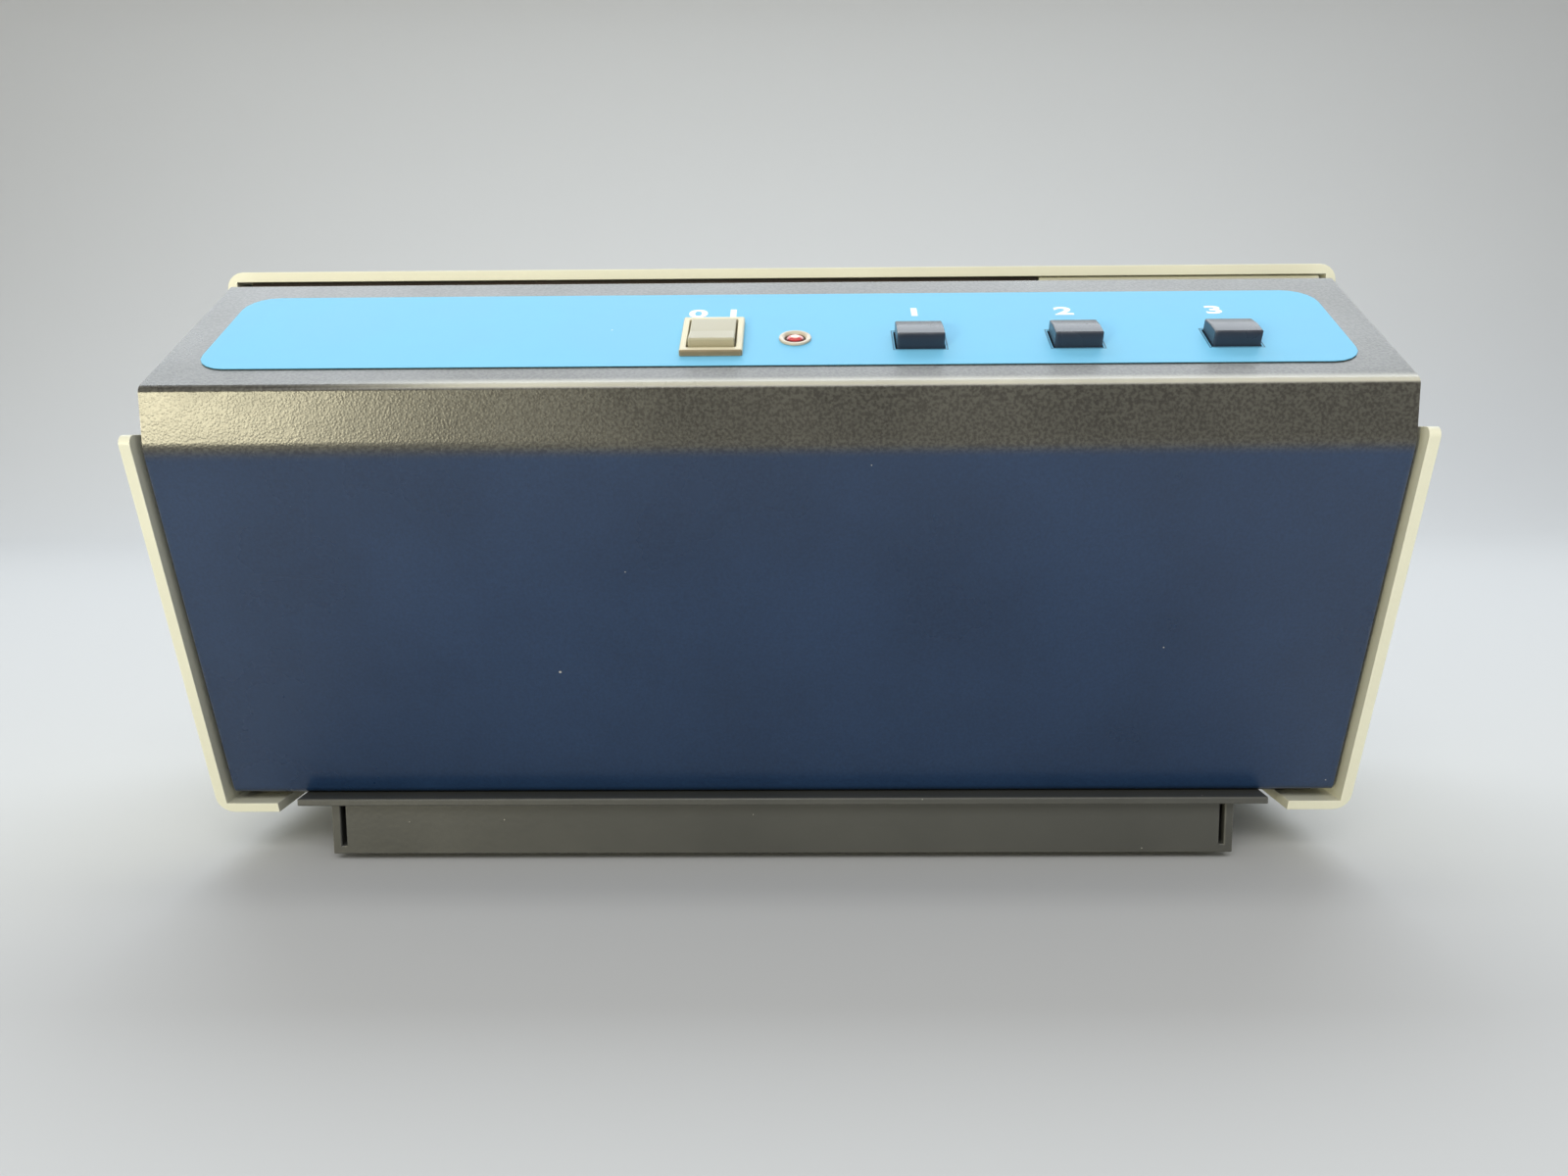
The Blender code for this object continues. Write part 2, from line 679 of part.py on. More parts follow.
def base_screw_places():
    """Places of the four screws that hold the shell to the base plate."""
    return [(x, y) for x in sides(BASE_SCREW_X) for y in (BASE_SCREW_FRONT, BASE_SCREW_BACK)]


def build_feet(root, finish):
    """Four low rubber feet under the tray's corners."""
    front = TRAY_FRONT + FOOT_INSET
    back = TRAY_BACK - FOOT_INSET
    for depth, row in ((front, "front"), (back, "rear")):
        for x, side in zip(sides(TRAY_HALF_WIDTH - FOOT_INSET), ("left", "right")):
            bm = bmesh.new()
            profile = [
                (FOOT_RADIUS - FOOT_CHAMFER, 0.0),
                (FOOT_RADIUS, FOOT_CHAMFER),
                (FOOT_RADIUS, FOOT_HEIGHT),
            ]
            add_turned(bm, profile, ROUND_SEGMENTS)
            make_object(f"foot_{row}_{side}", bm, finish, root, (x, depth, 0))


def build_pedestal_tray(root, finish):
    """The folded tray: a floor, four walls with a slit at each corner, and two turned-in flanges."""
    half = TRAY_HALF_WIDTH
    back = TRAY_BACK
    bm = bmesh.new()
    add_box(bm, (-half, TRAY_FRONT, TRAY_BOTTOM), (half, back, TRAY_TOP))
    tray = make_object("pedestal_tray", bm, finish, root)

    bm = bmesh.new()
    floor = TRAY_BOTTOM + TRAY_SHEET
    high = TRAY_TOP + CUT_OVERRUN
    inside = half - TRAY_SHEET
    add_box(bm, (-inside, TRAY_FRONT + TRAY_SHEET, floor), (inside, back - TRAY_SHEET, high))
    apply_tool(tray, bm, "tray_hollow")

    bm = bmesh.new()
    for outer, inner in ((-inside, -inside + TRAY_SLIT), (inside - TRAY_SLIT, inside)):
        add_box(bm, (outer, TRAY_FRONT - CUT_OVERRUN, floor), (inner, TRAY_FRONT + TRAY_SHEET * 2, high))
        add_box(bm, (outer, back - TRAY_SHEET * 2, floor), (inner, back + CUT_OVERRUN, high))
    apply_tool(tray, bm, "tray_slits")

    bm = bmesh.new()
    low = TRAY_TOP - TRAY_SHEET
    front = TRAY_FRONT + TRAY_SHEET * 2 + TRAY_FLANGE
    rear = back - TRAY_SHEET * 2 - TRAY_FLANGE
    for outer, inner in ((-half, -inside + TRAY_FLANGE), (inside - TRAY_FLANGE, half)):
        add_box(bm, (outer, front, low), (inner, rear, TRAY_TOP))
    apply_tool(tray, bm, "tray_flanges", "UNION")

    bm = bmesh.new()
    for x in sides(TRAY_SCREW_X):
        start = (x, TRAY_SCREW_DEPTH, low - CUT_OVERRUN)
        add_rod(bm, hole(SCREW_SHANK_RADIUS), start, TRAY_SHEET + 2 * CUT_OVERRUN, (0, 0, 1))
    apply_tool(tray, bm, "tray_screw_holes")


def build_base_plate(root, finish):
    """The plate that everything stands on: wide inside the shell, with a narrower tongue in front."""
    shoulder = FACE_FOOT_DEPTH + PLATE_SHOULDER
    back = NOTCH_BACK + PLATE_LAP
    tongue = TONGUE_HALF_WIDTH
    wide = PLATE_HALF_WIDTH
    outline = [
        (-tongue, PLATE_FRONT),
        (tongue, PLATE_FRONT),
        (tongue, shoulder),
        (wide, shoulder),
        (wide, back),
        (-wide, back),
        (-wide, shoulder),
        (-tongue, shoulder),
    ]
    bm = bmesh.new()
    add_slab(bm, outline, PLATE_BOTTOM, PLATE_TOP)
    plate = make_object("base_plate", bm, finish, root)
    bm = bmesh.new()
    places = base_screw_places()
    places += [(x, COVER_SCREW_DEPTH) for x in sides(COVER_SCREW_X)]
    places += [(x, TRAY_SCREW_DEPTH) for x in sides(TRAY_SCREW_X)]
    for x, y in places:
        start = (x, y, PLATE_BOTTOM - CUT_OVERRUN)
        add_rod(bm, hole(SCREW_SHANK_RADIUS), start, PLATE_THICKNESS + 2 * CUT_OVERRUN, (0, 0, 1))
    apply_tool(plate, bm, "plate_screw_holes")


def build_rear_shell(root, finish):
    """The cream shell: a rounded box with a stepped mouth, hollowed, notched and cut at the rear."""
    half = SHELL_WIDTH / 2
    start = FRONT_MOST - SHELL_CORNER * 2
    bm = bmesh.new()
    low, high = (-half, start, SHELL_BOTTOM), (half, REAR_OUTSIDE, SHELL_TOP)
    rounded_box(bm, low, high, SHELL_CORNER, ARC_SEGMENTS)
    shell = make_object("rear_shell", bm, finish, root)

    bm = bmesh.new()
    add_prism(bm, shell_outline(), -half - CUT_OVERRUN, half + CUT_OVERRUN)
    apply_tool(shell, bm, "shell_side_view", "INTERSECT")

    bm = bmesh.new()
    inside = half - SHELL_WALL
    before = start - CUT_OVERRUN
    add_box(bm, (-inside, before, SHELL_FLOOR_TOP), (inside, REAR_INSIDE, LIP_BOTTOM))
    apply_tool(shell, bm, "shell_hollow")

    bm = bmesh.new()
    notch = NOTCH_HALF_WIDTH
    low = SHELL_BOTTOM - CUT_OVERRUN
    add_box(bm, (-notch, before, low), (notch, NOTCH_BACK, SHELL_FLOOR_TOP + CUT_OVERRUN))
    apply_tool(shell, bm, "shell_notch")

    bm = bmesh.new()
    add_rear_cuts(bm)
    for x, y in base_screw_places():
        add_rod(bm, hole(SCREW_SHANK_RADIUS), (x, y, low), SHELL_WALL + 2 * CUT_OVERRUN, (0, 0, 1))
    apply_tool(shell, bm, "shell_holes")


def add_rear_cuts(bm):
    """Openings in the rear wall for the sockets, the fuse, the fibre port and the vents."""
    near = REAR_INSIDE - CUT_OVERRUN
    far = REAR_OUTSIDE + CUT_OVERRUN
    wide = INLET_WIDTH / 2 + TOUCH_GAP
    tall = INLET_TALL / 2 + TOUCH_GAP
    low, high = REAR_ROW_HEIGHT - tall, REAR_ROW_HEIGHT + tall
    add_box(bm, (INLET_X - wide, near, low), (INLET_X + wide, far, high))
    wide = DATA_WIDTH / 2 + TOUCH_GAP
    tall = DATA_TALL / 2 + TOUCH_GAP
    low, high = REAR_ROW_HEIGHT - tall, REAR_ROW_HEIGHT + tall
    add_box(bm, (DATA_X - wide, near, low), (DATA_X + wide, far, high))
    through = far - near
    fuse_start = (FUSE_X, near, REAR_ROW_HEIGHT)
    add_rod(bm, FUSE_BODY_RADIUS + TOUCH_GAP, fuse_start, through, (0, 1, 0), ROUND_SEGMENTS)
    port_start = (OPTICS_X, near, BEAM_LEVEL)
    add_rod(bm, PORT_RADIUS + TOUCH_GAP, port_start, through, (0, 1, 0), ROUND_SEGMENTS)
    for index in range(VENT_COUNT):
        x = VENT_CENTRE_X + (index - (VENT_COUNT - 1) / 2) * VENT_PITCH
        low, high = VENT_CENTRE_HEIGHT - VENT_HEIGHT / 2, VENT_CENTRE_HEIGHT + VENT_HEIGHT / 2
        add_box(bm, (x - VENT_WIDTH / 2, near, low), (x + VENT_WIDTH / 2, far, high))


def build_front_cover(root, panel, finish):
    """The folded cover: bent outline, closed ends, open back, holes for the controls and four studs."""
    half = COVER_WIDTH / 2
    corners = cover_corners()
    radii = [HEM_RADIUS, BAND_RADIUS, FOLD_RADIUS, BACK_RADIUS, 0, 0]
    bm = bmesh.new()
    add_prism(bm, fillet(corners, radii), -half, half)
    cover = make_object("front_cover", bm, finish, root)

    sheet = COVER_SHEET
    inner = inset(corners, [sheet, sheet, sheet, sheet, -CUT_OVERRUN, sheet])
    inner_radii = [max(radius - sheet, 0) for radius in radii]
    bm = bmesh.new()
    add_prism(bm, fillet(inner, inner_radii), -half + sheet, half - sheet)
    apply_tool(cover, bm, "cover_hollow")

    bm = bmesh.new()
    flange_end = FACE_FOOT_DEPTH + COVER_FLANGE
    low, high = ON_PLATE - CUT_OVERRUN, ON_PLATE + sheet + CUT_OVERRUN
    add_box(bm, (-half + sheet, flange_end, low), (half - sheet, COVER_BACK_DEPTH + CUT_OVERRUN, high))
    apply_tool(cover, bm, "cover_floor_opening")

    bm = bmesh.new()
    add_control_holes(bm, -sheet - CUT_OVERRUN, CUT_OVERRUN)
    apply_tool(cover, bm, "cover_control_holes", parent=panel)

    bm = bmesh.new()
    for x in sides(COVER_SCREW_X):
        start = (x, COVER_SCREW_DEPTH, low)
        add_rod(bm, hole(SCREW_SHANK_RADIUS), start, high - low, (0, 0, 1))
    apply_tool(cover, bm, "cover_screw_holes")

    bm = bmesh.new()
    for x, y in stud_places():
        profile = [(STUD_RADIUS, -STUD_TIP), (STUD_RADIUS, -sheet + SOLDER_SINK)]
        stud = add_turned(bm, profile, SMALL_SEGMENTS)
        bmesh.ops.translate(bm, vec=(x, y, 0), verts=stud)
    apply_tool(cover, bm, "cover_studs", "UNION", parent=panel)

    bm = bmesh.new()
    for x, y in stud_places():
        start = (x, y, -STUD_TIP - CUT_OVERRUN)
        depth = BOARD_SCREW_LENGTH + CUT_OVERRUN
        add_rod(bm, hole(BOARD_SCREW_RADIUS), start, depth, (0, 0, 1))
    apply_tool(cover, bm, "cover_stud_bores", parent=panel)


def stud_places():
    """Places of the studs that carry the control board, on the panel."""
    return [(x, y) for x in STUD_XS for y in STUD_UPS]


def add_control_holes(bm, low, high):
    """Holes for the switch, the indicator and the buttons, through the panel or its overlay."""
    wide = SWITCH_OPENING_WIDTH / 2 + SWITCH_WALL + TOUCH_GAP
    tall = SWITCH_OPENING_LENGTH / 2 + SWITCH_WALL + TOUCH_GAP
    add_box(bm, (SWITCH_X - wide, SWITCH_UP - tall, low), (SWITCH_X + wide, SWITCH_UP + tall, high))
    add_rod(bm, LED_BARREL_RADIUS + TOUCH_GAP, (LED_X, LED_UP, low), high - low, (0, 0, 1), ROUND_SEGMENTS)
    wide = BUTTON_WIDTH / 2 + BUTTON_HOLE_GAP
    front = BUTTON_FRONT - BUTTON_HOLE_GAP
    back = BUTTON_FRONT + BUTTON_DEPTH + BUTTON_HOLE_GAP
    for x in BUTTON_XS:
        add_box(bm, (x - wide, front, low), (x + wide, back, high))


def build_panel_label(panel, finish):
    """The thin overlay with rounded corners on the control panel."""
    half = LABEL_HALF_WIDTH
    corners = [(-half, LABEL_LOW), (half, LABEL_LOW), (half, LABEL_HIGH), (-half, LABEL_HIGH)]
    bm = bmesh.new()
    add_slab(bm, fillet(corners, [LABEL_CORNER] * len(corners)), LABEL_ADHESIVE, LABEL_TOP)
    label = make_object("panel_label", bm, finish, panel)
    bm = bmesh.new()
    add_control_holes(bm, -CUT_OVERRUN, CUT_OVERRUN)
    apply_tool(label, bm, "label_holes")


def build_gap_seal(root, finish):
    """The dark strip in the slot between the cover's tongue and the shell's lip."""
    left = -(SHELL_WIDTH / 2 - SHELL_WALL - SEAL_LEFT_MARGIN)
    front = LIP_DEPTH + SEAL_SETBACK
    low, high = PANEL_BACK_HEIGHT + TOUCH_GAP, LIP_BOTTOM - TOUCH_GAP
    bm = bmesh.new()
    right = SHELL_WIDTH / 2 - SEAL_RIGHT_MARGIN
    add_box(bm, (left, front, low), (right, front + SEAL_DEPTH, high))
    make_object("gap_seal", bm, finish, root)


def build_power_switch(panel, housing_finish, rocker_finish):
    """The rocker switch: a raised bezel on a snap-in body, and the rocker on its two trunnions."""
    wide = SWITCH_OPENING_WIDTH / 2 + SWITCH_WALL
    tall = SWITCH_OPENING_LENGTH / 2 + SWITCH_WALL
    bm = bmesh.new()
    rim_wide, rim_tall = BEZEL_WIDTH / 2, BEZEL_LENGTH / 2
    rim = add_box(bm, (-rim_wide, -rim_tall, ON_LABEL), (rim_wide, rim_tall, BEZEL_HEIGHT))
    top_edges = [
        edge
        for edge in {edge for vertex in rim for edge in vertex.link_edges}
        if any(vertex.co.z > ON_LABEL + TOUCH_GAP for vertex in edge.verts)
    ]
    round_edges(bm, top_edges, BEZEL_CHAMFER)
    housing = make_object("switch_housing", bm, housing_finish, panel, (SWITCH_X, SWITCH_UP, 0))
    place = housing.location

    bm = bmesh.new()
    add_box(bm, (-wide, -tall, -SWITCH_DEPTH), (wide, tall, (ON_LABEL + BEZEL_HEIGHT) / 2))
    apply_tool(housing, bm, "switch_body", "UNION", location=place)

    bm = bmesh.new()
    opening = (SWITCH_OPENING_WIDTH / 2, SWITCH_OPENING_LENGTH / 2)
    top = BEZEL_HEIGHT + CUT_OVERRUN
    add_box(bm, (-opening[0], -opening[1], -SWITCH_WELL_DEPTH), (opening[0], opening[1], top))
    apply_tool(housing, bm, "switch_well", location=place)

    bm = bmesh.new()
    start = (-wide - CUT_OVERRUN, 0, -ROCKER_PIVOT_DEPTH)
    add_rod(bm, TRUNNION_RADIUS + TRUNNION_CLEARANCE, start, 2 * (wide + CUT_OVERRUN), (1, 0, 0))
    apply_tool(housing, bm, "switch_trunnion_holes", location=place)

    bm = bmesh.new()
    for y in sides(TERMINAL_OFFSET):
        low = (-TERMINAL_WIDTH / 2, y - TERMINAL_THICKNESS / 2, -SWITCH_DEPTH - TERMINAL_LENGTH)
        high = (TERMINAL_WIDTH / 2, y + TERMINAL_THICKNESS / 2, -SWITCH_DEPTH + SOLDER_SINK)
        add_box(bm, low, high)
    apply_tool(housing, bm, "switch_terminals", "UNION", location=place)

    pivot = (SWITCH_X, SWITCH_UP, -ROCKER_PIVOT_DEPTH)
    crease = ROCKER_PIVOT_DEPTH + ROCKER_CREASE_HEIGHT
    end = ROCKER_LENGTH / 2
    tip = crease + end * math.tan(ROCKER_FACET)
    foot = ROCKER_FOOT_LENGTH / 2
    outline = [
        (-end, tip),
        (0.0, crease),
        (end, tip),
        (end, tip - ROCKER_SKIRT),
        (foot, -ROCKER_FOOT_DEPTH),
        (-foot, -ROCKER_FOOT_DEPTH),
        (-end, tip - ROCKER_SKIRT),
    ]
    bm = bmesh.new()
    add_prism(bm, outline, -ROCKER_WIDTH / 2, ROCKER_WIDTH / 2)
    tilt = (-ROCKER_TILT, 0, 0)
    rocker = make_object("power_rocker", bm, rocker_finish, panel, pivot, tilt)
    bm = bmesh.new()
    reach = SWITCH_OPENING_WIDTH / 2 + TRUNNION_REACH
    add_rod(bm, TRUNNION_RADIUS, (-reach, 0, 0), 2 * reach, (1, 0, 0))
    apply_tool(rocker, bm, "rocker_trunnions", "UNION", location=pivot, rotation=tilt)


def build_indicator(panel, bezel_finish, lamp_finish):
    """The indicator: a round bezel through the panel and the red lamp inside it."""
    place = (LED_X, LED_UP, 0)
    top = LED_FLANGE_HEIGHT
    soft_top_share = 0.6
    rim_share = 0.92
    profile = [
        (LED_BORE_RADIUS, -LED_BARREL_LENGTH),
        (LED_BARREL_RADIUS, -LED_BARREL_LENGTH),
        (LED_BARREL_RADIUS, ON_LABEL),
        (LED_FLANGE_RADIUS, ON_LABEL),
        (LED_FLANGE_RADIUS, top * soft_top_share + ON_LABEL * (1 - soft_top_share)),
        (LED_FLANGE_RADIUS * rim_share, top),
        (LED_BORE_RADIUS / rim_share, top),
        (LED_BORE_RADIUS, top * soft_top_share),
    ]
    bm = bmesh.new()
    add_turned(bm, profile, ROUND_SEGMENTS, closed=True)
    make_object("led_bezel", bm, bezel_finish, panel, place)

    dome = LED_RADIUS
    shoulder = LED_DOME_TOP - dome / 2
    body = [(LED_RADIUS, shoulder - LED_BODY_LENGTH), (LED_RADIUS, shoulder)]
    for step in range(1, ARC_SEGMENTS):
        angle = math.pi / 2 * step / ARC_SEGMENTS
        body.append((dome * math.cos(angle), shoulder + dome / 2 * math.sin(angle)))
    bm = bmesh.new()
    add_turned(bm, body, ROUND_SEGMENTS)
    lamp = make_object("led_lamp", bm, lamp_finish, panel, place)
    bm = bmesh.new()
    half = LED_LEAD_SIZE / 2
    low = -CONTROL_BOARD_TOP + TOUCH_GAP
    high = shoulder - LED_BODY_LENGTH + SOLDER_SINK
    for x in sides(LED_LEAD_SPACING / 2):
        add_box(bm, (x - half, -half, low), (x + half, half, high))
    apply_tool(lamp, bm, "led_leads", "UNION", location=place)


def spring_mesh(radius, wire, turns, low, high):
    """A helical spring about Z as one closed tube, its wire's centre running from low to high."""
    bm = bmesh.new()
    count = turns * SPRING_POINTS_PER_TURN
    rings = []
    for index in range(count + 1):
        angle = 2 * math.pi * index / SPRING_POINTS_PER_TURN
        height = low + (high - low) * index / count
        outwards = Vector((math.cos(angle), math.sin(angle), 0))
        ring = []
        for side in range(SPRING_SIDES):
            turn = 2 * math.pi * side / SPRING_SIDES
            point = outwards * (radius + wire * math.cos(turn))
            ring.append(bm.verts.new((point.x, point.y, height + wire * math.sin(turn))))
        rings.append(ring)
    for lower, upper in zip(rings, rings[1:]):
        for side in range(SPRING_SIDES):
            other = (side + 1) % SPRING_SIDES
            bm.faces.new((lower[side], lower[other], upper[other], upper[side]))
    bm.faces.new(list(reversed(rings[0])))
    bm.faces.new(rings[-1])
    return bm


def build_button(panel, number, x, cap_finish, body_finish, spring_finish):
    """One push button: the cap with its flange and stem, the switch under it and the return spring."""
    centre = (x, BUTTON_FRONT + BUTTON_DEPTH / 2, 0)
    half_width, half_depth = BUTTON_WIDTH / 2, BUTTON_DEPTH / 2
    under = -(COVER_SHEET + BUTTON_RELIEF)
    flange_under = under - BUTTON_FLANGE_THICKNESS
    body_top = flange_under - BUTTON_TRAVEL - BUTTON_RELIEF
    body_low = -CONTROL_BOARD_TOP + TOUCH_GAP
    well_floor = body_low + WELL_FLOOR
    spring_rise = (body_top - well_floor) * SPRING_FREE_SHARE
    seat = SPRING_WIRE_RADIUS + TOUCH_GAP / 2
    stem_tip = well_floor + spring_rise

    crease = -half_depth + BUTTON_DEPTH * BUTTON_CREASE_SHARE
    outline = [
        (-half_depth, under),
        (-half_depth, BUTTON_FRONT_HEIGHT),
        (crease, BUTTON_CREASE_HEIGHT),
        (half_depth, BUTTON_BACK_HEIGHT),
        (half_depth, under),
    ]
    bm = bmesh.new()
    add_prism(bm, outline, -half_width, half_width)
    rims = []
    for edge in bm.edges:
        one, other = edge.verts
        on_crease = abs(one.co.y - crease) < TOUCH_GAP and abs(other.co.y - crease) < TOUCH_GAP
        if one.co.z > 0 and other.co.z > 0 and not on_crease:
            rims.append(edge)
    round_edges(bm, rims, BUTTON_EDGE)
    cap = make_object(f"button_cap_{number}", bm, cap_finish, panel, centre)
    bm = bmesh.new()
    wide, deep = half_width + BUTTON_FLANGE, half_depth + BUTTON_FLANGE
    add_box(bm, (-wide, -deep, flange_under), (wide, deep, under + SOLDER_SINK / 2))
    apply_tool(cap, bm, f"button_flange_{number}", "UNION", location=centre)
    bm = bmesh.new()
    stem_length = flange_under + SOLDER_SINK - stem_tip
    add_rod(bm, STEM_RADIUS, (0, 0, stem_tip), stem_length, (0, 0, 1))
    apply_tool(cap, bm, f"button_stem_{number}", "UNION", location=centre)

    side = SWITCH_BODY_SIDE / 2
    bm = bmesh.new()
    add_box(bm, (-side, -side, body_low), (side, side, body_top))
    body = make_object(f"button_switch_{number}", bm, body_finish, panel, centre)
    bm = bmesh.new()
    depth = body_top - well_floor + CUT_OVERRUN
    add_rod(bm, WELL_RADIUS, (0, 0, well_floor), depth, (0, 0, 1), ROUND_SEGMENTS)
    apply_tool(body, bm, f"button_well_{number}", location=centre)

    bm = spring_mesh(SPRING_RADIUS, SPRING_WIRE_RADIUS, SPRING_TURNS, well_floor + seat, stem_tip - seat)
    make_object(f"return_spring_{number}", bm, spring_finish, panel, centre)


def build_control_board(panel, board_finish, screw_finish):
    """The board under the panel, its ribbon header and its four screws into the panel's studs."""
    low, high = -CONTROL_BOARD_BOTTOM, -CONTROL_BOARD_TOP
    bm = bmesh.new()
    add_box(
        bm,
        (CONTROL_BOARD_LEFT, CONTROL_BOARD_LOW, low),
        (CONTROL_BOARD_RIGHT, CONTROL_BOARD_HIGH, high),
    )
    board = make_object("control_board", bm, board_finish, panel)
    bm = bmesh.new()
    for x, y in stud_places():
        start = (x, y, low - CUT_OVERRUN)
        add_rod(bm, hole(BOARD_SCREW_RADIUS), start, BOARD_THICKNESS + 2 * CUT_OVERRUN, (0, 0, 1))
    apply_tool(board, bm, "control_board_holes")
    bm = bmesh.new()
    middle = (CONTROL_BOARD_LOW + CONTROL_BOARD_HIGH) / 2
    add_header(bm, RIBBON_X, middle, low - HEADER_HEIGHT, low + SOLDER_SINK)
    apply_tool(board, bm, "control_board_header", "UNION")

    for number, (x, y) in enumerate(stud_places(), 1):
        bm = bmesh.new()
        profile = [
            (BOARD_SCREW_HEAD_RADIUS, -BOARD_SCREW_HEAD_HEIGHT),
            (BOARD_SCREW_HEAD_RADIUS, 0.0),
            (BOARD_SCREW_RADIUS, 0.0),
            (BOARD_SCREW_RADIUS, BOARD_SCREW_LENGTH),
        ]
        add_turned(bm, profile, SMALL_SEGMENTS)
        place = (x, y, low - TOUCH_GAP)
        make_object(f"control_board_screw_{number}", bm, screw_finish, panel, place)


def add_header(bm, x, y, low, high):
    """A ribbon header: a plain block across the board."""
    length, width = HEADER_LENGTH / 2, HEADER_WIDTH / 2
    add_box(bm, (x - length, y - width, low), (x + length, y + width, high))


def build_main_board(root, board_finish, post_finish):
    """The main board with its chips, capacitors and header, on four posts with screw tops."""
    bm = bmesh.new()
    add_box(
        bm,
        (MAIN_BOARD_LEFT, MAIN_BOARD_FRONT, MAIN_BOARD_UNDER),
        (MAIN_BOARD_RIGHT, MAIN_BOARD_BACK, MAIN_BOARD_TOP),
    )
    board = make_object("main_board", bm, board_finish, root)
    posts = [
        (x, y)
        for x in (MAIN_BOARD_LEFT + POST_INSET, MAIN_BOARD_RIGHT - POST_INSET)
        for y in (MAIN_BOARD_FRONT + POST_INSET, MAIN_BOARD_BACK - POST_INSET)
    ]
    bm = bmesh.new()
    for x, y in posts:
        start = (x, y, MAIN_BOARD_UNDER - CUT_OVERRUN)
        add_rod(bm, hole(POST_SHANK_RADIUS), start, BOARD_THICKNESS + 2 * CUT_OVERRUN, (0, 0, 1))
    apply_tool(board, bm, "main_board_holes")

    sunk = MAIN_BOARD_TOP - SOLDER_SINK
    bm = bmesh.new()
    add_header(bm, RIBBON_X, MAIN_HEADER_DEPTH, sunk, MAIN_BOARD_TOP + HEADER_HEIGHT)
    apply_tool(board, bm, "main_board_header", "UNION")
    bm = bmesh.new()
    chip_row = MAIN_BOARD_FRONT + (MAIN_BOARD_BACK - MAIN_BOARD_FRONT) * CHIP_ROW_SHARE
    chip_count = int((MAIN_BOARD_RIGHT - MAIN_BOARD_LEFT - 2 * CHIP_MARGIN) / CHIP_PITCH)
    for index in range(chip_count):
        x = (MAIN_BOARD_LEFT + MAIN_BOARD_RIGHT) / 2 + (index - (chip_count - 1) / 2) * CHIP_PITCH
        low = (x - CHIP_LENGTH / 2, chip_row - CHIP_WIDTH / 2, sunk)
        high = (x + CHIP_LENGTH / 2, chip_row + CHIP_WIDTH / 2, MAIN_BOARD_TOP + CHIP_HEIGHT)
        add_box(bm, low, high)
    apply_tool(board, bm, "main_board_chips", "UNION")
    bm = bmesh.new()
    for radii in (3, 7):
        start = (MAIN_BOARD_LEFT + CAPACITOR_RADIUS * radii, MAIN_HEADER_DEPTH, sunk)
        add_rod(bm, CAPACITOR_RADIUS, start, CAPACITOR_HEIGHT, (0, 0, 1), ROUND_SEGMENTS)
    apply_tool(board, bm, "main_board_capacitors", "UNION")

    shank_top = BOARD_THICKNESS + 2 * TOUCH_GAP
    for number, (x, y) in enumerate(posts, 1):
        bm = bmesh.new()
        rise = MAIN_BOARD_HEIGHT
        profile = [
            (POST_RADIUS, 0.0),
            (POST_RADIUS, rise),
            (POST_SHANK_RADIUS, rise),
            (POST_SHANK_RADIUS, rise + shank_top),
            (POST_HEAD_RADIUS, rise + shank_top),
            (POST_HEAD_RADIUS, rise + shank_top + POST_HEAD_HEIGHT),
        ]
        add_turned(bm, profile, SMALL_SEGMENTS)
        make_object(f"board_post_{number}", bm, post_finish, root, (x, y, ON_PLATE))


def build_ribbon_cable(root, finish):
    """The flat cable, bent in one soft curve between the two boards' headers."""
    up = (CONTROL_BOARD_LOW + CONTROL_BOARD_HIGH) / 2
    deep = CONTROL_BOARD_BOTTOM + HEADER_HEIGHT + TOUCH_GAP
    slope_cos, slope_sin = math.cos(PANEL_SLOPE), math.sin(PANEL_SLOPE)
    start = Vector((up * slope_cos + deep * slope_sin, FOLD_HEIGHT + up * slope_sin - deep * slope_cos))
    end = Vector((MAIN_HEADER_DEPTH, MAIN_BOARD_TOP + HEADER_HEIGHT + TOUCH_GAP))
    lead = (start - end).length / 3
    first = start + Vector((slope_sin, -slope_cos)) * lead
    second = end + Vector((0, lead))
    left, right = [], []
    for step in range(RIBBON_STEPS + 1):
        t = step / RIBBON_STEPS
        rest = 1 - t
        point = start * rest**3 + first * (3 * rest**2 * t) + second * (3 * rest * t**2) + end * t**3
        run = (first - start) * rest**2 + (second - first) * (2 * rest * t) + (end - second) * t**2
        run.normalize()
        side = Vector((-run.y, run.x)) * (RIBBON_THICKNESS / 2)
        left.append(tuple(point + side))
        right.append(tuple(point - side))
    bm = bmesh.new()
    half = RIBBON_WIDTH / 2
    add_prism(bm, left + list(reversed(right)), RIBBON_X - half, RIBBON_X + half)
    make_object("ribbon_cable", bm, finish, root)


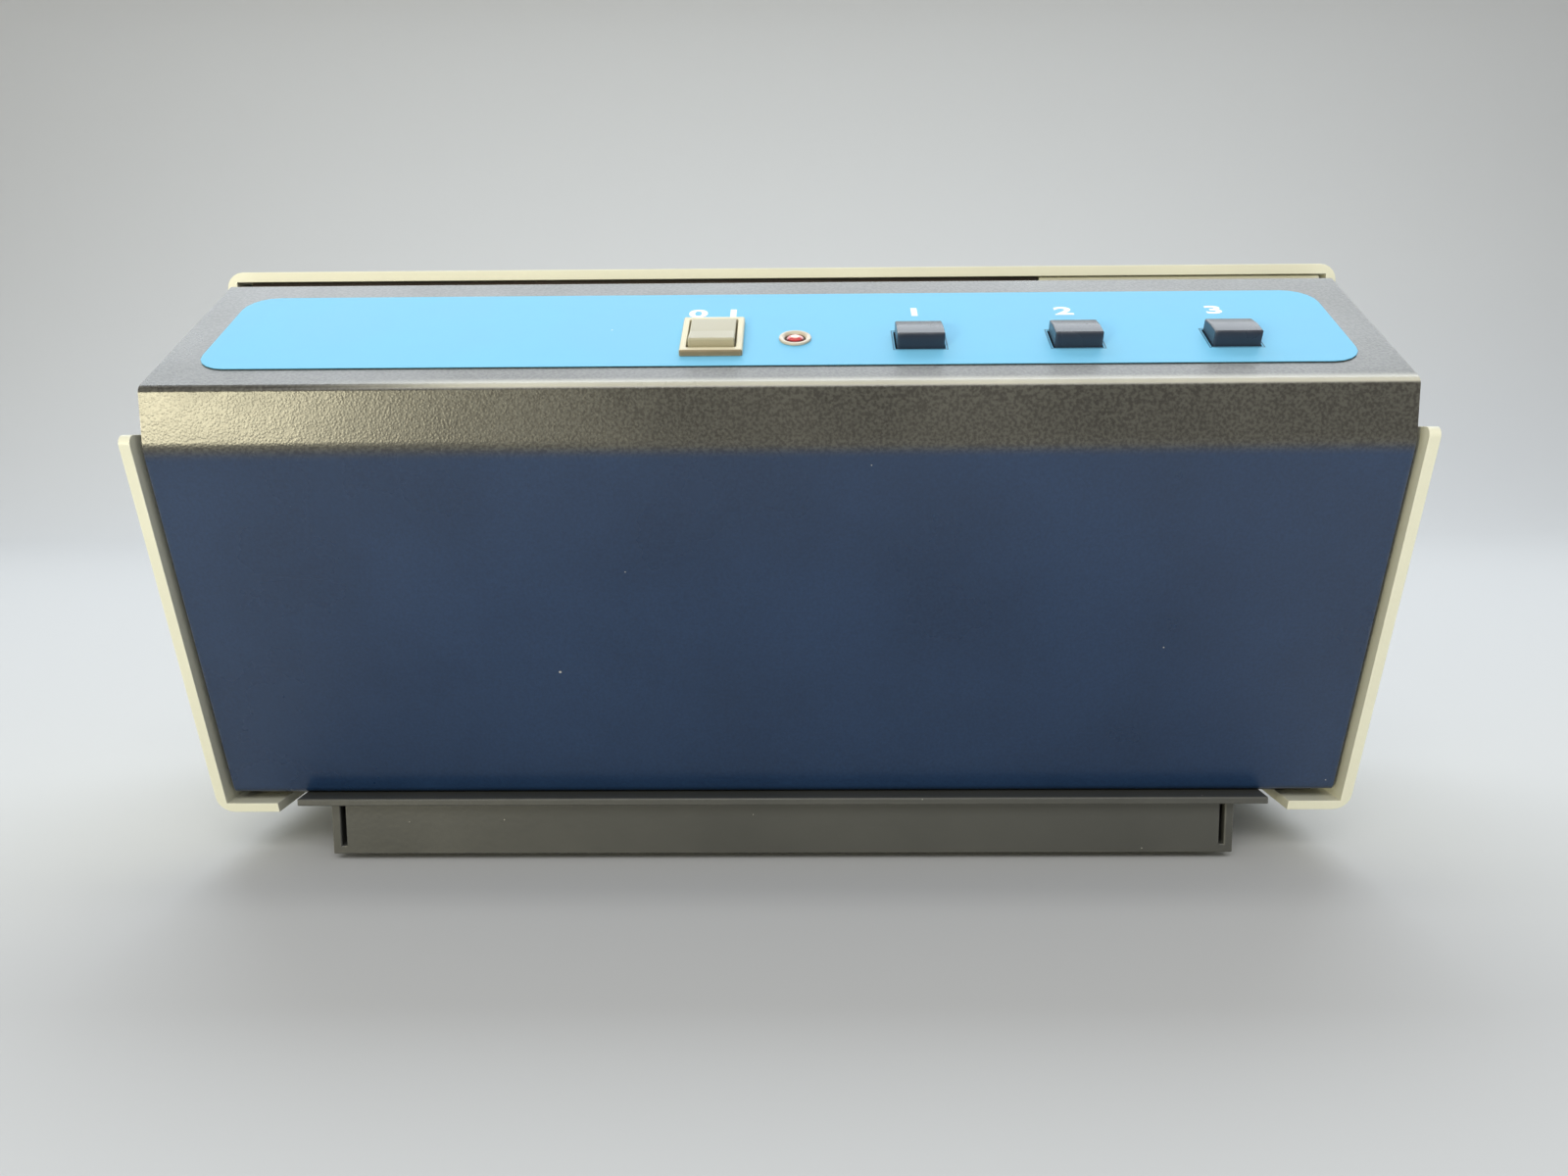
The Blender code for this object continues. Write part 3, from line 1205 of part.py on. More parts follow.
def build_transformer(root, core_finish, coil_finish, screw_finish):
    """The mains transformer: a core with two windows and ears, and the coil round its middle limb."""
    window = (CORE_WIDTH - 2 * CORE_LIMB - CORE_MIDDLE_LIMB) / 2
    half = CORE_WIDTH / 2
    back = CORE_FRONT + CORE_DEPTH
    ear = half + CORE_EAR_LENGTH
    bm = bmesh.new()
    add_box(bm, (CORE_X - half, CORE_FRONT, ON_PLATE), (CORE_X + half, back, ON_PLATE + CORE_HEIGHT))
    core = make_object("transformer_core", bm, core_finish, root)
    bm = bmesh.new()
    inset_share = 0.15
    shy = CORE_DEPTH * inset_share
    low, high = ON_PLATE, ON_PLATE + CORE_EAR_THICKNESS
    add_box(bm, (CORE_X - ear, CORE_FRONT + shy, low), (CORE_X + ear, back - shy, high))
    apply_tool(core, bm, "core_ears", "UNION")
    bm = bmesh.new()
    floor, roof = ON_PLATE + CORE_LIMB, ON_PLATE + CORE_HEIGHT - CORE_LIMB
    for outer in (CORE_X - half + CORE_LIMB, CORE_X + CORE_MIDDLE_LIMB / 2):
        add_box(bm, (outer, CORE_FRONT - CUT_OVERRUN, floor), (outer + window, back + CUT_OVERRUN, roof))
    apply_tool(core, bm, "core_windows")

    middle = CORE_FRONT + CORE_DEPTH / 2
    ear_x = half + CORE_EAR_LENGTH / 2
    bm = bmesh.new()
    for x in sides(ear_x):
        start = (CORE_X + x, middle, ON_PLATE - CUT_OVERRUN)
        add_rod(bm, hole(SCREW_SHANK_RADIUS), start, CORE_EAR_THICKNESS + 2 * CUT_OVERRUN, (0, 0, 1))
    apply_tool(core, bm, "core_ear_holes")

    gap = TOUCH_GAP
    wide = CORE_MIDDLE_LIMB / 2 + window - gap
    deep = CORE_DEPTH / 2 + COIL_OVERHANG
    bm = bmesh.new()
    rounded_box(
        bm,
        (CORE_X - wide, middle - deep, floor + gap),
        (CORE_X + wide, middle + deep, roof - gap),
        COIL_OVERHANG / 4,
        2,
    )
    coil = make_object("transformer_coil", bm, coil_finish, root)
    bm = bmesh.new()
    wide = CORE_MIDDLE_LIMB / 2 + gap
    deep = CORE_DEPTH / 2 + gap
    low, high = floor - CUT_OVERRUN, roof + CUT_OVERRUN
    add_box(bm, (CORE_X - wide, middle - deep, low), (CORE_X + wide, middle + deep, high))
    apply_tool(coil, bm, "coil_bore")

    for x, side in zip(sides(ear_x), ("left", "right")):
        screw = screw_mesh(CORE_EAR_THICKNESS)
        place = (CORE_X + x, middle, ON_PLATE + CORE_EAR_THICKNESS + TOUCH_GAP)
        make_object(f"transformer_screw_{side}", screw, screw_finish, root, place, (math.pi, 0, 0))


def build_optics_block(root, finish):
    """The block that holds the beam: a bore from rear to front, and one from the lamp's side."""
    half = OPTICS_WIDTH / 2
    bm = bmesh.new()
    high = ON_PLATE + OPTICS_HEIGHT
    add_box(bm, (OPTICS_X - half, OPTICS_FRONT, ON_PLATE), (OPTICS_X + half, OPTICS_BACK, high))
    block = make_object("optics_block", bm, finish, root)
    bm = bmesh.new()
    start = (OPTICS_X, OPTICS_FRONT - CUT_OVERRUN, BEAM_LEVEL)
    add_rod(bm, EMISSION_BORE_RADIUS, start, OPTICS_DEPTH + 2 * CUT_OVERRUN, (0, 1, 0), ROUND_SEGMENTS)
    apply_tool(block, bm, "emission_bore")
    bm = bmesh.new()
    start = (OPTICS_X, OPTICS_MIDDLE, BEAM_LEVEL)
    add_rod(bm, EXCITATION_BORE_RADIUS, start, half + CUT_OVERRUN, (1, 0, 0), ROUND_SEGMENTS)
    apply_tool(block, bm, "excitation_bore")
    bm = bmesh.new()
    depth = BEAM_SEAT_DEPTH + CUT_OVERRUN
    start = (OPTICS_X, OPTICS_FRONT - CUT_OVERRUN, BEAM_LEVEL)
    add_rod(bm, BEAM_SEAT_RADIUS, start, depth, (0, 1, 0), ROUND_SEGMENTS)
    start = (OPTICS_RIGHT - BEAM_SEAT_DEPTH, OPTICS_MIDDLE, BEAM_LEVEL)
    add_rod(bm, BEAM_SEAT_RADIUS, start, depth, (1, 0, 0), ROUND_SEGMENTS)
    apply_tool(block, bm, "beam_seats")


def build_beam_parts(root, finishes):
    """The filters in their seats, the lens, the detector, the lamp and its holder."""
    fit = BEAM_SEAT_RADIUS - TOUCH_GAP
    bm = bmesh.new()
    start = (OPTICS_X, OPTICS_FRONT + BEAM_SEAT_DEPTH - TOUCH_GAP - FILTER_THICKNESS, BEAM_LEVEL)
    add_rod(bm, fit, start, FILTER_THICKNESS, (0, 1, 0), ROUND_SEGMENTS)
    make_object("emission_filter", bm, finishes["emission"], root)

    bm = bmesh.new()
    neck = BEAM_SEAT_DEPTH - FILTER_THICKNESS - 3 * TOUCH_GAP
    profile = [(DETECTOR_RADIUS, 0.0), (DETECTOR_RADIUS, DETECTOR_LENGTH), (fit, DETECTOR_LENGTH)]
    profile.append((fit, DETECTOR_LENGTH + TOUCH_GAP + neck))
    can = add_turned(bm, profile, ROUND_SEGMENTS)
    turn_to(bm, can, (0, 1, 0), (OPTICS_X, OPTICS_FRONT - TOUCH_GAP - DETECTOR_LENGTH, BEAM_LEVEL))
    make_object("detector", bm, finishes["can"], root)

    bm = bmesh.new()
    filter_start = OPTICS_RIGHT - BEAM_SEAT_DEPTH + TOUCH_GAP
    add_rod(bm, fit, (filter_start, OPTICS_MIDDLE, BEAM_LEVEL), FILTER_THICKNESS, (1, 0, 0), ROUND_SEGMENTS)
    make_object("excitation_filter", bm, finishes["excitation"], root)

    bm = bmesh.new()
    profile = [(fit, 0.0), (fit, LENS_EDGE)]
    for step in range(1, LENS_STEPS):
        share = step / LENS_STEPS
        profile.append((fit * (1 - share), LENS_EDGE + LENS_CROWN * (1 - (1 - share) ** 2)))
    lens = add_turned(bm, profile, ROUND_SEGMENTS)
    lens_start = filter_start + FILTER_THICKNESS + TOUCH_GAP
    turn_to(bm, lens, (1, 0, 0), (lens_start, OPTICS_MIDDLE, BEAM_LEVEL))
    make_object("condenser_lens", bm, finishes["glass"], root)

    upright = OPTICS_RIGHT + HOLDER_GAP
    half = HOLDER_DEPTH / 2
    high = BEAM_LEVEL + LAMP_CAP_RADIUS + HOLDER_SHEET
    outline = [
        (upright, ON_PLATE),
        (upright + HOLDER_WIDTH, ON_PLATE),
        (upright + HOLDER_WIDTH, ON_PLATE + HOLDER_SHEET),
        (upright + HOLDER_SHEET, ON_PLATE + HOLDER_SHEET),
        (upright + HOLDER_SHEET, high),
        (upright, high),
    ]
    bm = bmesh.new()
    add_prism(bm, [(-x, z) for x, z in outline], OPTICS_MIDDLE - half, OPTICS_MIDDLE + half)
    bmesh.ops.rotate(bm, cent=(0, 0, 0), matrix=Matrix.Rotation(math.pi / 2, 3, "Z"), verts=bm.verts)
    holder = make_object("lamp_holder", bm, finishes["holder"], root)
    bm = bmesh.new()
    start = (upright - CUT_OVERRUN, OPTICS_MIDDLE, BEAM_LEVEL)
    reach = HOLDER_SHEET + 2 * CUT_OVERRUN
    add_rod(bm, LAMP_CAP_RADIUS + TOUCH_GAP, start, reach, (1, 0, 0), ROUND_SEGMENTS)
    apply_tool(holder, bm, "lamp_hole")

    bm = bmesh.new()
    profile = [(LAMP_CAP_RADIUS, 0.0), (LAMP_CAP_RADIUS, LAMP_CAP_LENGTH), (LAMP_RADIUS, LAMP_CAP_LENGTH)]
    shoulder = LAMP_CAP_LENGTH + LAMP_LENGTH - LAMP_RADIUS
    for step in range(LAMP_STEPS):
        angle = math.pi / 2 * step / LAMP_STEPS
        profile.append((LAMP_RADIUS * math.cos(angle), shoulder + LAMP_RADIUS * math.sin(angle)))
    bulb = add_turned(bm, profile, ROUND_SEGMENTS)
    cap_end = upright + HOLDER_SHEET + LAMP_CAP_LENGTH / 3
    turn_to(bm, bulb, (-1, 0, 0), (cap_end, OPTICS_MIDDLE, BEAM_LEVEL))
    make_object("lamp_bulb", bm, finishes["bulb"], root)


def build_fibre_port(root, finish):
    """The bushing that takes the light guide through the rear wall to the optics block."""
    inside = -(SHELL_WALL + OPTICS_REAR_GAP - TOUCH_GAP)
    outside = TOUCH_GAP
    profile = [
        (PORT_BORE_RADIUS, inside),
        (PORT_RADIUS, inside),
        (PORT_RADIUS, outside),
        (PORT_FLANGE_RADIUS, outside),
        (PORT_FLANGE_RADIUS, outside + PORT_FLANGE_THICKNESS),
        (PORT_RADIUS, outside + PORT_FLANGE_THICKNESS),
        (PORT_RADIUS, PORT_PROUD),
        (PORT_BORE_RADIUS, PORT_PROUD),
    ]
    bm = bmesh.new()
    ring = add_turned(bm, profile, ROUND_SEGMENTS, closed=True)
    turn_to(bm, ring, (0, 1, 0), rear_place(OPTICS_X, BEAM_LEVEL))
    make_object("fibre_port", bm, finish, root)


def build_power_inlet(root, finish, pin_finish):
    """The mains inlet: a flange on the wall, a deep body behind it and three pins in its well."""
    place = rear_place(INLET_X, REAR_ROW_HEIGHT)
    wide, tall = INLET_FLANGE_WIDTH / 2, INLET_FLANGE_TALL / 2
    bm = bmesh.new()
    outer = TOUCH_GAP + INLET_FLANGE_THICKNESS
    add_box(bm, (-wide, TOUCH_GAP, -tall), (wide, outer, tall))
    inlet = make_object("power_inlet", bm, finish, root, place)
    wide, tall = INLET_WIDTH / 2, INLET_TALL / 2
    bm = bmesh.new()
    add_box(bm, (-wide, -INLET_DEPTH, -tall), (wide, outer / 2, tall))
    apply_tool(inlet, bm, "inlet_body", "UNION", location=place)
    wide, tall = wide - INLET_WALL, tall - INLET_WALL
    bm = bmesh.new()
    add_box(bm, (-wide, outer - INLET_WELL_DEPTH, -tall), (wide, outer + CUT_OVERRUN, tall))
    apply_tool(inlet, bm, "inlet_well", location=place)
    bm = bmesh.new()
    half_wide, half_tall = INLET_PIN_WIDTH / 2, INLET_PIN_TALL / 2
    floor = outer - INLET_WELL_DEPTH
    for x, rise in ((-INLET_PIN_SPACING, 0), (0, INLET_EARTH_RISE), (INLET_PIN_SPACING, 0)):
        low = (x - half_wide, floor - SOLDER_SINK, rise - half_tall)
        high = (x + half_wide, floor + INLET_PIN_LENGTH, rise + half_tall)
        add_box(bm, low, high)
    apply_tool(inlet, bm, "inlet_pins", "UNION", location=place)


def build_fuse_holder(root, holder_finish, cap_finish, fuse_finish):
    """The fuse holder with its slotted bayonet cap and the fuse behind the cap's stem."""
    place = rear_place(FUSE_X, REAR_ROW_HEIGHT)
    outer = TOUCH_GAP + FUSE_FLANGE_THICKNESS
    floor = -FUSE_BODY_LENGTH + FUSE_BORE_FLOOR
    bm = bmesh.new()
    profile = [
        (FUSE_BODY_RADIUS, -FUSE_BODY_LENGTH),
        (FUSE_BODY_RADIUS, TOUCH_GAP),
        (FUSE_FLANGE_RADIUS, TOUCH_GAP),
        (FUSE_FLANGE_RADIUS, outer),
    ]
    body = add_turned(bm, profile, ROUND_SEGMENTS)
    turn_to(bm, body, (0, 1, 0), (0, 0, 0))
    holder = make_object("fuse_holder", bm, holder_finish, root, place)
    bm = bmesh.new()
    add_rod(bm, FUSE_BORE_RADIUS, (0, floor, 0), outer - floor + CUT_OVERRUN, (0, 1, 0), ROUND_SEGMENTS)
    apply_tool(holder, bm, "fuse_bore", location=place)

    cap_place = rear_place(FUSE_X, REAR_ROW_HEIGHT)
    bm = bmesh.new()
    start = outer + TOUCH_GAP
    stem_end = start - FUSE_CAP_STEM_LENGTH
    soft_share = 0.9
    profile = [
        (FUSE_CAP_STEM_RADIUS, stem_end),
        (FUSE_CAP_STEM_RADIUS, start),
        (FUSE_CAP_RADIUS, start),
        (FUSE_CAP_RADIUS, start + FUSE_CAP_LENGTH * soft_share),
        (FUSE_CAP_RADIUS * soft_share, start + FUSE_CAP_LENGTH),
    ]
    knob = add_turned(bm, profile, ROUND_SEGMENTS)
    turn_to(bm, knob, (0, 1, 0), (0, 0, 0))
    cap = make_object("fuse_cap", bm, cap_finish, root, cap_place)
    bm = bmesh.new()
    end = start + FUSE_CAP_LENGTH
    reach = FUSE_CAP_RADIUS + CUT_OVERRUN
    half = FUSE_SLOT_WIDTH / 2
    add_box(bm, (-reach, end - FUSE_SLOT_DEPTH, -half), (reach, end + CUT_OVERRUN, half))
    apply_tool(cap, bm, "fuse_cap_slot", location=cap_place)

    bm = bmesh.new()
    low = floor + TOUCH_GAP
    add_rod(bm, FUSE_RADIUS, (0, low, 0), stem_end - TOUCH_GAP - low, (0, 1, 0))
    make_object("fuse", bm, fuse_finish, root, cap_place)


def data_outline(width, tall):
    """The socket's D outline as (X, Z) points, narrower at the bottom."""
    half, low = width / 2, tall / 2
    foot = half * DATA_TAPER_SHARE
    return [(-half, low), (half, low), (foot, -low), (-foot, -low)]


def add_deep(bm, outline, near, far):
    """Add a closed prism along Y over an outline of (X, Z) points."""
    turned = [(x, -z) for x, z in outline]
    before = set(bm.verts)
    add_slab(bm, turned, near, far)
    made = [vertex for vertex in bm.verts if vertex not in before]
    bmesh.ops.rotate(bm, cent=(0, 0, 0), matrix=Matrix.Rotation(-math.pi / 2, 3, "X"), verts=made)


def build_data_socket(root, finish):
    """The data socket: a flange on the wall, a D-shaped shroud outside and a body behind it."""
    place = rear_place(DATA_X, REAR_ROW_HEIGHT)
    outer = TOUCH_GAP + DATA_FLANGE_THICKNESS
    wide, tall = DATA_FLANGE_WIDTH / 2, DATA_FLANGE_TALL / 2
    bm = bmesh.new()
    add_box(bm, (-wide, TOUCH_GAP, -tall), (wide, outer, tall))
    socket = make_object("data_socket", bm, finish, root, place)
    bm = bmesh.new()
    add_deep(bm, data_outline(DATA_WIDTH, DATA_TALL), -DATA_DEPTH, outer + DATA_SHROUD)
    apply_tool(socket, bm, "data_shroud", "UNION", location=place)
    bm = bmesh.new()
    hollow = data_outline(DATA_WIDTH - 2 * DATA_WALL, DATA_TALL - 2 * DATA_WALL)
    add_deep(bm, hollow, outer, outer + DATA_SHROUD + CUT_OVERRUN)
    apply_tool(socket, bm, "data_hollow", location=place)


def build_screws(root, finish):
    """The screws of the shell, the cover and the tray."""
    for number, (x, y) in enumerate(base_screw_places(), 1):
        length = SHELL_WALL + PLATE_THICKNESS + 2 * TOUCH_GAP + BASE_SCREW_TIP
        place = (x, y, SHELL_BOTTOM - TOUCH_GAP)
        make_object(f"base_screw_{number}", screw_mesh(length), finish, root, place)
    for x, side in zip(sides(COVER_SCREW_X), ("left", "right")):
        length = PLATE_THICKNESS + COVER_SHEET + 2 * TOUCH_GAP + COVER_SCREW_TIP
        place = (x, COVER_SCREW_DEPTH, PLATE_BOTTOM - TOUCH_GAP)
        make_object(f"cover_screw_{side}", screw_mesh(length), finish, root, place)
    for x, side in zip(sides(TRAY_SCREW_X), ("left", "right")):
        length = PLATE_THICKNESS + TRAY_SHEET + 2 * TOUCH_GAP + TRAY_SCREW_TIP
        place = (x, TRAY_SCREW_DEPTH, ON_PLATE)
        make_object(f"tray_screw_{side}", screw_mesh(length), finish, root, place, (math.pi, 0, 0))


def main():
    """Clear the scene and build the instrument."""
    for old in list(bpy.data.objects):
        bpy.data.objects.remove(old, do_unlink=True)

    dark_paint = material("dark_paint", (62, 66, 74), 0.55)
    dark_steel = material("dark_steel", (60, 60, 58), 0.5, metallic=0.3)
    cream = material("cream_paint", (232, 232, 214), 0.5)
    foam = material("black_foam", (60, 50, 44), 0.95)
    overlay = material("blue_overlay", (150, 215, 245), 0.4)
    beige = material("beige_plastic", (205, 198, 172), 0.5)
    pale_grey = material("pale_grey_plastic", (205, 200, 190), 0.45)
    red_lens = material("red_lens", (180, 40, 50), 0.15, transmission=0.4, emission=0.3)
    black = material("black_plastic", (52, 60, 78), 0.4)
    rubber = material("black_rubber", (35, 35, 35), 0.9)
    steel = material("screw_steel", (190, 190, 190), 0.3, metallic=1.0)
    laminate = material("green_laminate", (40, 110, 70), 0.5)
    grey_flat = material("grey_ribbon", (170, 170, 172), 0.6)
    copper = material("coil_tape", (196, 160, 80), 0.6)
    alloy = material("black_anodised_alloy", (46, 46, 48), 0.45, metallic=0.6)
    brass = material("plain_brass", (200, 170, 100), 0.35, metallic=1.0)
    beam = {
        "emission": material("green_filter_glass", (70, 170, 80), 0.1, transmission=0.6),
        "excitation": material("blue_filter_glass", (60, 90, 210), 0.1, transmission=0.6),
        "glass": material("clear_glass", (235, 240, 240), 0.05, transmission=0.9),
        "can": material("grey_can", (150, 152, 155), 0.35, metallic=0.8),
        "holder": material("holder_alloy", (190, 192, 195), 0.4, metallic=0.9),
        "bulb": material("bulb_glass", (230, 228, 215), 0.1, transmission=0.6),
    }

    root = empty("instrument", location=(0, CENTRE_SHIFT, 0))
    panel = empty("panel_frame", root, (0, 0, FOLD_HEIGHT), (PANEL_SLOPE, 0, 0))

    build_feet(root, rubber)
    build_pedestal_tray(root, dark_steel)
    build_base_plate(root, dark_steel)
    build_rear_shell(root, cream)
    build_front_cover(root, panel, dark_paint)
    build_panel_label(panel, overlay)
    build_gap_seal(root, foam)
    build_power_switch(panel, beige, beige)
    build_indicator(panel, pale_grey, red_lens)
    for number, x in enumerate(BUTTON_XS, 1):
        build_button(panel, number, x, black, black, steel)
    build_control_board(panel, laminate, steel)
    build_main_board(root, laminate, steel)
    build_ribbon_cable(root, grey_flat)
    build_transformer(root, steel, copper, steel)
    build_optics_block(root, alloy)
    build_beam_parts(root, beam)
    build_fibre_port(root, brass)
    build_power_inlet(root, black, steel)
    build_fuse_holder(root, black, black, brass)
    build_data_socket(root, steel)
    build_screws(root, steel)


main()
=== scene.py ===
"""Looks of a desktop fluorophotometer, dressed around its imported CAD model.

Metres, +Z up, the controls face -Y. Every shape is worked out in numpy, or is a merged copy of a CAD
node with rounded edges, and each piece rides on the CAD body that it belongs to.
"""

import logging
import math
from dataclasses import dataclass, field
from enum import Enum

import bmesh
import bpy
import numpy as np
from mathutils import Matrix, Vector


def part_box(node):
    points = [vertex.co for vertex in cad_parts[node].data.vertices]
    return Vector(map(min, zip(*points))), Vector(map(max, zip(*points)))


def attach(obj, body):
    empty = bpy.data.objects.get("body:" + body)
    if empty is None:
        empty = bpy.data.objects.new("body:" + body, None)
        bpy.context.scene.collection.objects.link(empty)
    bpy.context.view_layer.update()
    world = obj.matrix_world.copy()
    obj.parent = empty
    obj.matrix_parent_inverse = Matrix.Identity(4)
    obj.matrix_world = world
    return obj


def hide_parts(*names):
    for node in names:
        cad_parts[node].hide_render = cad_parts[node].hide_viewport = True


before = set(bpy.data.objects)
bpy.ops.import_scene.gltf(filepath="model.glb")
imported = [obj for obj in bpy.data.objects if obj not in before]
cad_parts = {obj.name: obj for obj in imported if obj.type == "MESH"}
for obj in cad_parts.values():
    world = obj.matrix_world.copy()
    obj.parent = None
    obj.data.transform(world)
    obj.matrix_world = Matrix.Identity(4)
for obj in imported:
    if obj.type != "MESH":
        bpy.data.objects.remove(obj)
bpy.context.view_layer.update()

Array = np.ndarray
Rgb = tuple[int, int, int]
Pair = tuple[float, float]
Point = tuple[float, float, float]
Socket = bpy.types.NodeSocket
Tree = bpy.types.NodeTree
LOG = logging.getLogger("instrument")

SHARP_ANGLE = math.radians(38)
FLAT_ANGLE = math.radians(0.5)
QUARTER_TURN = math.pi / 2
FULL_TURN = 2 * math.pi
ROUND_STEPS = 4
SAME_PLACE = 1e-6


def unit(vectors: Array) -> Array:
    """Each row divided by its length."""
    return vectors / np.linalg.norm(vectors, axis=-1, keepdims=True)


def circled(radius: Array | float, height: Array | float, angle: Array) -> Array:
    """Points (radius cos a, radius sin a, height) at each angle a."""
    return np.stack(np.broadcast_arrays(radius * np.cos(angle), radius * np.sin(angle), height), -1)


def new_object(name: str, data: bpy.types.ID) -> bpy.types.Object:
    """A new object in the scene.

    Args:
        name: its name.
        data: its mesh, text, lamp or camera.

    Returns:
        The object.
    """
    made = bpy.data.objects.new(name, data)
    bpy.context.scene.collection.objects.link(made)
    return made


def rounding(edge: float, top: float, radius: float) -> Array:
    """Points of (radius, height) round a turned piece's upper outer edge.

    At angle a they are edge - radius (1 - cos a) and top - radius (1 - sin a), from the side to the top.
    """
    angle = np.linspace(0, QUARTER_TURN, ROUND_STEPS + 1)
    return np.stack([edge - radius * (1 - np.cos(angle)), top - radius * (1 - np.sin(angle))], -1)


def coordinates(mesh: bpy.types.Mesh) -> Array:
    """A mesh's points.

    Args:
        mesh: the mesh.

    Returns:
        Rows of x, y and z.
    """
    points = np.empty(len(mesh.vertices) * 3, np.float32)
    mesh.vertices.foreach_get("co", points)
    return points.reshape(-1, 3)


@dataclass(frozen=True)
class PanelFrame:
    """The slanted frame of the control panel, and where its controls sit on it as (u, v).

    u runs to the right, v up the slope from the fold and w out of the panel. seat is the height at which
    the controls' rims stand, and pitch is the distance from one button to the next.
    """

    fold_height: float = 0.1302
    shift: float = -0.09309403
    slope: float = math.radians(28.1)
    switch: Pair = (-0.01605, 0.02445)
    lamp: Pair = (0.0048, 0.0240)
    button: Pair = (0.0360, 0.0229)
    pitch: float = 0.0391
    seat: float = 0.00045

    def place(self, points: Array, centre: Point) -> Array:
        """Points of (u, v, w) in the object's frame: v and w are turned about X by the slope.

        Args:
            points: rows of u, v and w, measured from the centre.
            centre: where the points' own zero lies on the panel.

        Returns:
            Rows of x, y and z.
        """
        u, v, w = np.moveaxis(points + np.array(centre), -1, 0)
        cos, sin = math.cos(self.slope), math.sin(self.slope)
        return np.stack([u, self.shift + v * cos - w * sin, self.fold_height + v * sin + w * cos], -1)


PANEL = PanelFrame()


@dataclass(frozen=True)
class Outline:
    """A closed outline with rounded corners, worked out for any inset.

    A corner's arc has its centre on the bisector, at radius / sin(half the corner's angle), and turns
    from the tangent point on one side to that on the other. An inset d moves a point inwards along its
    normal. Where d passes the radius of an outer corner, the points meet on the bisector.
    """

    corners: tuple[Pair, ...]
    radii: tuple[float, ...]
    steps: int

    @staticmethod
    def rectangle(width: float, depth: float, radius: float, steps: int) -> "Outline":
        """A rectangle about zero with four equal corners."""
        a, b = width / 2, depth / 2
        return Outline(((-a, -b), (a, -b), (a, b), (-a, b)), (radius,) * 4, steps)

    def inset(self, distances: Array) -> Array:
        """The outline's points at each inset.

        Args:
            distances: insets, positive inwards.

        Returns:
            An array of insets by points by two.
        """
        corners = np.array(self.corners, float)
        radii = np.maximum(np.array(self.radii, float), SAME_PLACE)
        back = unit(np.roll(corners, 1, axis=0) - corners)
        ahead = unit(np.roll(corners, -1, axis=0) - corners)
        half = np.arccos(np.clip((back * ahead).sum(1), -1, 1)) / 2
        bisector = unit(back + ahead)
        centre = corners + bisector * (radii / np.sin(half))[:, None]
        start = corners + back * (radii / np.tan(half))[:, None] - centre
        end = corners + ahead * (radii / np.tan(half))[:, None] - centre
        sweep = np.arctan2(start[:, 0] * end[:, 1] - start[:, 1] * end[:, 0], (start * end).sum(1))
        turn = sweep[:, None] * np.linspace(0, 1, self.steps + 1)
        cos, sin = np.cos(turn), np.sin(turn)
        across, up = start[:, :1], start[:, 1:]
        arc = np.stack([across * cos - up * sin, across * sin + up * cos], -1)
        follows = np.roll(corners, -1, axis=0)
        area = (corners[:, 0] * follows[:, 1] - corners[:, 1] * follows[:, 0]).sum()
        outer = np.sign(sweep) == np.sign(area)
        normal = arc / radii[:, None, None] * np.where(outer, 1, -1)[:, None, None]
        depth = np.asarray(distances, float)[:, None, None, None]
        moved = (centre[:, None] + arc)[None] - depth * normal[None]
        met = corners[None, :, None] + bisector[None, :, None] * depth / np.sin(half)[None, :, None, None]
        past = outer[None, :, None, None] & (depth > radii[None, :, None, None])
        return np.where(past, met, moved).reshape(len(distances), -1, 2)


